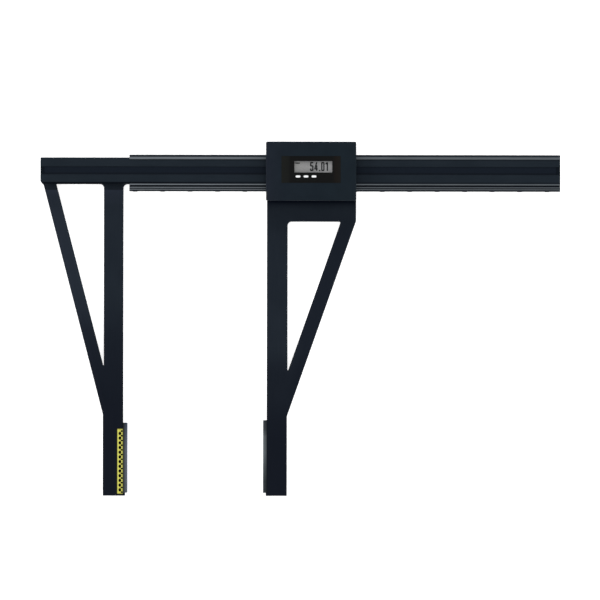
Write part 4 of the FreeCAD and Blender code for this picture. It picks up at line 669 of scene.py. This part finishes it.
def turned_mesh(name, rings):
    """A closed mesh through rings of (kind, radius, height), in millimetres."""
    work = bmesh.new()
    loops = []
    for kind, radius, height in rings:
        loop = []
        for step in range(RING_POINTS):
            angle = 2 * math.pi * step / RING_POINTS
            reach = ring_radius(kind, radius, step) * MM
            spot = (reach * math.cos(angle), reach * math.sin(angle), height * MM)
            loop.append(work.verts.new(spot))
        loops.append(loop)
    for lower, upper in zip(loops, loops[1:]):
        for step in range(RING_POINTS):
            after = (step + 1) % RING_POINTS
            work.faces.new((lower[step], lower[after], upper[after], upper[step]))
    work.faces.new(list(reversed(loops[0])))
    work.faces.new(loops[-1])
    bmesh.ops.recalc_face_normals(work, faces=work.faces)
    mesh = bpy.data.meshes.new(name)
    work.to_mesh(mesh)
    work.free()
    return mesh


def socket_rings(radius, top, flat, depth):
    """The head's top, and a hexagon socket whose flats lie this far from the axis."""
    return [("round", radius, top), ("hexagon", flat + CHAMFER, top),
            ("hexagon", flat, top - CHAMFER), ("hexagon", flat, top - depth)]


def cap_head(radius, height, shank, length, socket):
    """Rings of a cap screw whose seat is at height 0."""
    return [("round", shank, -length), ("round", shank, 0.0), ("round", radius, 0.0),
            ("knurl", radius, 0.25), ("knurl", radius, height - 0.45),
            ("round", radius - 0.08, height - 0.3), ("round", radius - 0.35, height),
            *socket_rings(radius - 0.5, height, socket, height * 0.5)]


print("a screw has", RING_POINTS, "points in each ring")

# %% [markdown]
# The tree that places the screws is short. It takes a cloud of points, one for each
# screw, sets the modelled screw on every point, turns it to its side, and makes real
# faces of the copies. The same tree serves every group of screws, because the
# template, the turn and the finish are inputs.

# %% A tree that sets one piece on many points


def new_tree(name, inputs):
    """An empty geometry tree with a geometry output and named inputs."""
    tree = bpy.data.node_groups.new(name, "GeometryNodeTree")
    tree.interface.new_socket("Geometry", in_out="INPUT", socket_type="NodeSocketGeometry")
    tree.interface.new_socket("Geometry", in_out="OUTPUT", socket_type="NodeSocketGeometry")
    for label, kind in inputs:
        tree.interface.new_socket(label, in_out="INPUT", socket_type=kind)
    entry = tree.nodes.new("NodeGroupInput")
    leave = tree.nodes.new("NodeGroupOutput")
    return tree, entry, leave


def close_tree(tree, entry, leave, instances):
    """The end that every tree here shares: real faces, then their finish."""
    realize = tree.nodes.new("GeometryNodeRealizeInstances")
    paint = tree.nodes.new("GeometryNodeSetMaterial")
    tree.links.new(instances, realize.inputs["Geometry"])
    tree.links.new(realize.outputs["Geometry"], paint.inputs["Geometry"])
    tree.links.new(entry.outputs["Finish"], paint.inputs["Material"])
    tree.links.new(paint.outputs["Geometry"], leave.inputs["Geometry"])


def scatter_tree():
    """Sets the template on every point of the incoming mesh."""
    tree, entry, leave = new_tree("set_on_points", [
        ("Template", "NodeSocketObject"), ("Turn", "NodeSocketRotation"),
        ("Finish", "NodeSocketMaterial")])
    template = tree.nodes.new("GeometryNodeObjectInfo")
    points = tree.nodes.new("GeometryNodeMeshToPoints")
    copy = tree.nodes.new("GeometryNodeInstanceOnPoints")
    tree.links.new(entry.outputs["Template"], template.inputs["Object"])
    tree.links.new(entry.outputs["Geometry"], points.inputs["Mesh"])
    tree.links.new(points.outputs["Points"], copy.inputs["Points"])
    tree.links.new(template.outputs["Geometry"], copy.inputs["Instance"])
    tree.links.new(entry.outputs["Turn"], copy.inputs["Rotation"])
    close_tree(tree, entry, leave, copy.outputs["Instances"])
    return tree


def grow(name, mesh, tree, values):
    """Runs a tree on a mesh and returns the result as a plain mesh object."""
    host = bpy.data.objects.new(name, mesh)
    bpy.context.scene.collection.objects.link(host)
    modifier = host.modifiers.new("nodes", "NODES")
    modifier.node_group = tree
    for item in tree.interface.items_tree:
        if item.in_out == "INPUT" and item.name in values:
            modifier[item.identifier] = values[item.name]
    graph = bpy.context.evaluated_depsgraph_get()
    grown = bpy.data.meshes.new_from_object(host.evaluated_get(graph))
    host.modifiers.clear()
    host.data = grown
    return host


SCATTER = scatter_tree()
print("tree", SCATTER.name, "has", len(SCATTER.nodes), "nodes")

# %% [markdown]
# Each group of screws replaces its plain CAD node, with the sizes of the CAD's screws in
# millimetres. The node's box gives where the row starts and ends, and the pitch divides
# what is between. The turn points the heads out of the rail's edge. The upper heads end
# flush with it, and the lower heads stand a little proud, as in the photograph.

# %% Screw rows on both rails


def screws(name, node, body, rings, spots, turn):
    """One object with a screw at every spot, in place of a CAD node."""
    template = bpy.data.objects.new(name + "_template", turned_mesh(name, rings))
    bpy.context.scene.collection.objects.link(template)
    cloud = bpy.data.meshes.new(name + "_points")
    cloud.from_pydata([tuple(spot) for spot in spots], [], [])
    values = {"Template": template, "Turn": turn, "Finish": screw_finish.material}
    piece = grow(name, cloud, SCATTER, values)
    bpy.data.objects.remove(template)
    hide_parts(node)
    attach(piece, body)
    print(name, "has", len(spots), "screws and", len(piece.data.polygons), "faces")


QUARTER = math.pi / 2
RAIL_SCREWS = 16
HEAD = 2.4
SHANK = 1.25
CONE = 1.2
UPPER_SHANK_LENGTH = 5.7
LOWER_SHANK_LENGTH = 9.9
HEAD_RAISE = 0.4
RAIL_SOCKET = 1.0

row_low, row_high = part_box("upper_rail_screws")
first, last = row_low.x + HEAD * MM, row_high.x - HEAD * MM
pitch = (last - first) / (RAIL_SCREWS - 1)
middle = (row_low.z + row_high.z) / 2
upper_spots = [(first + pitch * step, row_high.y, middle) for step in range(RAIL_SCREWS)]
flat_head = [("round", SHANK, -UPPER_SHANK_LENGTH), ("round", SHANK, -CONE),
             ("round", HEAD, 0.0), *socket_rings(HEAD - 0.1, 0.0, RAIL_SOCKET, 0.9)]
screws("upper_rail_hex_screws", "upper_rail_screws", "frame", flat_head, upper_spots,
       (-QUARTER, 0.0, 0.0))

row_low, row_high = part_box("lower_rail_screws")
seat = row_low.y + HEAD_RAISE * MM
lower_spots = [(first + pitch * step, seat, middle) for step in range(RAIL_SCREWS)]
raised_head = [("round", SHANK, -LOWER_SHANK_LENGTH), ("round", SHANK, -CONE),
               ("round", HEAD, 0.0), ("round", HEAD, HEAD_RAISE / 2),
               ("round", HEAD - 0.3, HEAD_RAISE),
               *socket_rings(HEAD - 0.4, HEAD_RAISE, RAIL_SOCKET, 1.0)]
screws("lower_rail_hex_screws", "lower_rail_screws", "frame", raised_head, lower_spots,
       (QUARTER, 0.0, 0.0))

# %% [markdown]
# On the back, the jaw and the carriage are held by cap screws sunk in counterbores.
# Their places are a grid over the CAD node's box, one head's radius in from its sides.

# %% Cap screws on the back


def grid(node, columns, rows, head, seat):
    """Spots over a CAD node's box, inset by the head's radius, at a seat's height."""
    low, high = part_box(node)
    inset = head * MM
    spots = []
    for column in range(columns):
        for row in range(rows):
            x = low.x + inset + (high.x - low.x - 2 * inset) * column / (columns - 1)
            y = low.y + inset + (high.y - low.y - 2 * inset) * row / (rows - 1)
            spots.append((x, y, low.z + seat * MM))
    return spots


def cap_screws(name, node, body, columns, rows, size):
    """A grid of cap screws; size is head radius and height, shank radius, length, socket."""
    screws(name, node, body, cap_head(*size), grid(node, columns, rows, *size[:2]), DOWN)


DOWN = (math.pi, 0.0, 0.0)
JAW_SCREW = (4.25, 5.0, 2.5, 9.9, 2.0)
BLOCK_SCREW = (3.5, 4.0, 2.0, 15.6, 1.5)
COVER_SCREW = (2.75, 3.0, 1.5, 34.6, 1.25)
cap_screws("fixed_jaw_cap_screws", "fixed_jaw_screws", "frame", 3, 2, JAW_SCREW)
cap_screws("guide_block_cap_screws", "guide_block_screws", "slider", 2, 2, BLOCK_SCREW)
cap_screws("cover_cap_screws", "cover_screws", "slider", 2, 2, COVER_SCREW)

# %% [markdown]
# The ruler's print is a row of oval black dots down the middle of the strip and a row of
# smaller ones at its right side, half a pitch off. Each mark is a flat chip a few
# hundredths of a millimetre thick, so it sits on the paint like real ink. One tree
# makes a row from a mark count, a pitch, a start and the mark's size.

# %% A tree that prints a row of marks


def print_tree():
    """A row of flat oval marks along Y, from a count, a pitch and a size."""
    tree, entry, leave = new_tree("print_row", [
        ("Marks", "NodeSocketInt"), ("Pitch", "NodeSocketFloat"),
        ("Start", "NodeSocketVector"), ("Mark Size", "NodeSocketVector"),
        ("Finish", "NodeSocketMaterial")])
    line = tree.nodes.new("GeometryNodeMeshLine")
    line.mode = "OFFSET"
    step = tree.nodes.new("ShaderNodeCombineXYZ")
    mark = tree.nodes.new("GeometryNodeMeshCylinder")
    mark.inputs["Vertices"].default_value = 20
    mark.inputs["Radius"].default_value = 0.5
    mark.inputs["Depth"].default_value = 1.0
    copy = tree.nodes.new("GeometryNodeInstanceOnPoints")
    tree.links.new(entry.outputs["Marks"], line.inputs["Count"])
    tree.links.new(entry.outputs["Start"], line.inputs["Start Location"])
    tree.links.new(entry.outputs["Pitch"], step.inputs["Y"])
    tree.links.new(step.outputs["Vector"], line.inputs["Offset"])
    tree.links.new(line.outputs["Mesh"], copy.inputs["Points"])
    tree.links.new(mark.outputs["Mesh"], copy.inputs["Instance"])
    tree.links.new(entry.outputs["Mark Size"], copy.inputs["Scale"])
    close_tree(tree, entry, leave, copy.outputs["Instances"])
    return tree


PRINT = print_tree()
INK_DEPTH = 0.04
MARKS = 13
MARK_PITCH = 4.7
FIRST_MARK = 4.2


def printed_row(name, x, width, height, start=0.0, marks=MARKS):
    """One row of marks on the ruler, x from its left edge, all in millimetres."""
    spot = (RULER_LOW.x + x * MM, RULER_LOW.y + (FIRST_MARK + start) * MM,
            RULER_HIGH.z + INK_DEPTH * MM / 2)
    values = {"Marks": marks, "Pitch": MARK_PITCH * MM, "Start": spot,
              "Mark Size": (width * MM, height * MM, INK_DEPTH * MM),
              "Finish": ink_finish.material}
    piece = grow(name, bpy.data.meshes.new(name), PRINT, values)
    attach(piece, "frame")


printed_row("ruler_dots", x=2.8, width=2.9, height=3.4)
printed_row("ruler_dashes", x=4.6, width=2.3, height=1.9, start=-MARK_PITCH / 2, marks=MARKS + 1)
print("the ruler has", MARKS, "dots", MARK_PITCH, "mm apart")

# %% [markdown]
# The display's figures are plain digits made of strokes. Each stroke is a flat bar with
# pointed ends, given by two places in the digit's own box, where 0 is its left or lower
# side and 1 its right or upper side. The bars are three hundredths of a millimetre
# thick and lie a hundredth over the glass, behind the window. Each next stroke of a
# digit lies a hair higher, so that no two faces share a plane where strokes cross. A
# row of three short bars at the upper left stands for the small sign there.

# %% The figures on the display
STROKES = {
    "0": [((0, 0), (0, 1)), ((0, 1), (1, 1)), ((1, 1), (1, 0)), ((1, 0), (0, 0))],
    "1": [((1, 0), (1, 1)), ((0.1, 0.84), (1, 1))],
    "4": [((0.72, 1), (0.08, 0.24)), ((0, 0.2), (1, 0.2)), ((0.76, 0), (0.76, 0.6))],
    "5": [((1, 1), (0, 1)), ((0, 1), (0, 0.58)), ((0, 0.58), (1, 0.58)), ((1, 0.58), (1, 0)),
          ((1, 0), (0, 0)), ((0, 0), (0, 0.2))],
}
STROKE_DEPTH = 0.03
STROKE_STEP = 0.002
STROKE_GAP = 0.01


def bar(work, start, end, z, thick):
    """One bar with pointed ends between two points, in millimetres."""
    run = Vector(end) - Vector(start)
    along = run.normalized()
    side = Vector((-along.y, along.x)) * thick / 2
    inset = along * thick / 2
    a, b = Vector(start) - inset, Vector(end) + inset
    corners = [a, a + inset + side, b - inset + side, b, b - inset - side, a + inset - side]
    lower = [work.verts.new((c.x * MM, c.y * MM, z * MM)) for c in corners]
    upper = [work.verts.new((c.x * MM, c.y * MM, (z + STROKE_DEPTH) * MM)) for c in corners]
    work.faces.new(list(reversed(upper)))
    work.faces.new(lower)
    for step in range(len(corners)):
        after = (step + 1) % len(corners)
        work.faces.new((lower[after], lower[step], upper[step], upper[after]))


def digit(work, figure, left, wide, thick):
    """One digit, its box's left side at this distance from the view's left side."""
    for number, strokes in enumerate(STROKES[figure]):
        start, end = [(VIEW_LEFT + left + x * wide, DIGIT_LOW + y * DIGIT_HEIGHT)
                      for x, y in strokes]
        bar(work, start, end, GLASS + STROKE_STEP * number, thick)


WINDOW_LOW, WINDOW_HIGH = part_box("display_window")
BEZEL = 0.5
VIEW_LEFT = WINDOW_LOW.x / MM + BEZEL
VIEW_TOP = WINDOW_HIGH.y / MM - BEZEL
GLASS = LCD_HIGH.z / MM + STROKE_GAP
DIGIT_LOW = VIEW_TOP - 9.15
DIGIT_HEIGHT = 7.8
POINT_LEFT = VIEW_LEFT + 25.0
POINT_RUN = 0.4
POINT_THICK = 1.6
SIGN_LEFT = VIEW_LEFT + 1.1
SIGN_LEVEL = VIEW_TOP - 1.9
SIGN_PITCH = 1.5
SIGN_RUN = 0.9
SIGN_THICK = 1.1

work = bmesh.new()
digit(work, "5", left=16.3, wide=2.05, thick=1.4)
digit(work, "4", left=20.2, wide=2.7, thick=1.3)
digit(work, "0", left=27.3, wide=2.1, thick=1.25)
digit(work, "1", left=31.2, wide=1.6, thick=1.35)
bar(work, (POINT_LEFT, DIGIT_LOW), (POINT_LEFT + POINT_RUN, DIGIT_LOW), GLASS, POINT_THICK)
for step in range(3):
    start = SIGN_LEFT + SIGN_PITCH * step
    bar(work, (start, SIGN_LEVEL), (start + SIGN_RUN, SIGN_LEVEL), GLASS, SIGN_THICK)
bmesh.ops.recalc_face_normals(work, faces=work.faces)
mesh = bpy.data.meshes.new("display_figures")
work.to_mesh(mesh)
work.free()
mesh.materials.append(segment_finish.material)
display_figures = bpy.data.objects.new("display_figures", mesh)
bpy.context.scene.collection.objects.link(display_figures)
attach(display_figures, "slider")
print("display figures have", len(mesh.polygons), "faces")

# %% [markdown]
# The studio is a light table: a pale floor that glows a little from below, so that the
# caliper throws no shadow on it, as in the photograph. It lies a hair under the jaws'
# backs. The sky is dim, because flat black faces mirror what is over them, and would
# turn grey under a bright one. Four soft panels at the sides light the edges and the
# relief instead.

# %% Floor and light
CALIPER_MIDDLE = Vector((0.17, 0.16, 0.0))
PANEL_WIDTH = 1.4
FLOOR_REACH = 4.0
FLOOR_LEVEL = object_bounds()[0].z - 0.2 * MM
corners = [(x * FLOOR_REACH, y * FLOOR_REACH, FLOOR_LEVEL)
           for x, y in ((-1, -1), (1, -1), (1, 1), (-1, 1))]
floor_mesh = bpy.data.meshes.new("floor")
floor_mesh.from_pydata(corners, [], [(0, 1, 2, 3)])
floor = bpy.data.objects.new("floor", floor_mesh)
bpy.context.scene.collection.objects.link(floor)
floor_finish = Finish("floor_pale", 0.9, specular=0.0)
floor_finish.colour(floor_finish.levels(floor_finish.noise(0.5), [(0.3, 0.93), (0.7, 0.95)]))
floor_finish.set("Emission Color", (1.0, 1.0, 1.0, 1.0))
floor_finish.set("Emission Strength", 0.75)
floor_mesh.materials.append(floor_finish.material)

world = bpy.data.worlds.new("studio")
bpy.context.scene.world = world
world.use_nodes = True
sky = world.node_tree.nodes["Background"]
sky.inputs["Color"].default_value = (1.0, 1.0, 1.0, 1.0)
sky.inputs["Strength"].default_value = 0.45


def soft_panel(name, place, energy):
    """A large square light that faces the caliper and that the camera doesn't see."""
    light = bpy.data.lights.new(name, "AREA")
    light.shape = "SQUARE"
    light.size = PANEL_WIDTH
    light.energy = energy
    carrier = bpy.data.objects.new(name, light)
    bpy.context.scene.collection.objects.link(carrier)
    carrier.location = place
    aim = CALIPER_MIDDLE - carrier.location
    carrier.rotation_euler = aim.to_track_quat("-Z", "Y").to_euler()
    carrier.visible_camera = False


soft_panel("panel_back", (0.17, 2.2, 1.5), 26)
soft_panel("panel_front", (0.17, -1.9, 1.5), 16)
soft_panel("panel_left", (-1.9, 0.16, 1.5), 20)
soft_panel("panel_right", (2.2, 0.16, 1.5), 14)
bpy.context.scene.view_settings.view_transform = "Standard"
print("floor at", round(FLOOR_LEVEL * 1000, 2), "mm")

# %% [markdown]
# The photograph looks straight down with hardly any perspective, so the camera hangs
# ten metres up with a very long lens. One millimetre at the beam's depth is one pixel
# of a picture 600 pixels wide, and the picture's middle lies at a known place. In the
# photograph the beam runs down to the right by less than a tenth of a degree, and the
# roll, in degrees, follows that.

# %% Camera
PICTURE_WIDTH = 0.6
PICTURE_MIDDLE = (0.1725, 0.1581)
PICTURE_ROLL = 0.087
CAMERA_HEIGHT = 10.0
BEAM_LEVEL = 0.015
SENSOR_WIDTH = 36
lens = bpy.data.cameras.new("camera")
lens.sensor_width = SENSOR_WIDTH
lens.lens = SENSOR_WIDTH * (CAMERA_HEIGHT - BEAM_LEVEL) / PICTURE_WIDTH
lens.clip_start = 1.0
lens.clip_end = 100.0
camera = bpy.data.objects.new("camera", lens)
bpy.context.scene.collection.objects.link(camera)
camera.location = (*PICTURE_MIDDLE, CAMERA_HEIGHT)
camera.rotation_euler.z = math.radians(PICTURE_ROLL)
bpy.context.scene.camera = camera
print("lens of", round(lens.lens, 1), "mm")
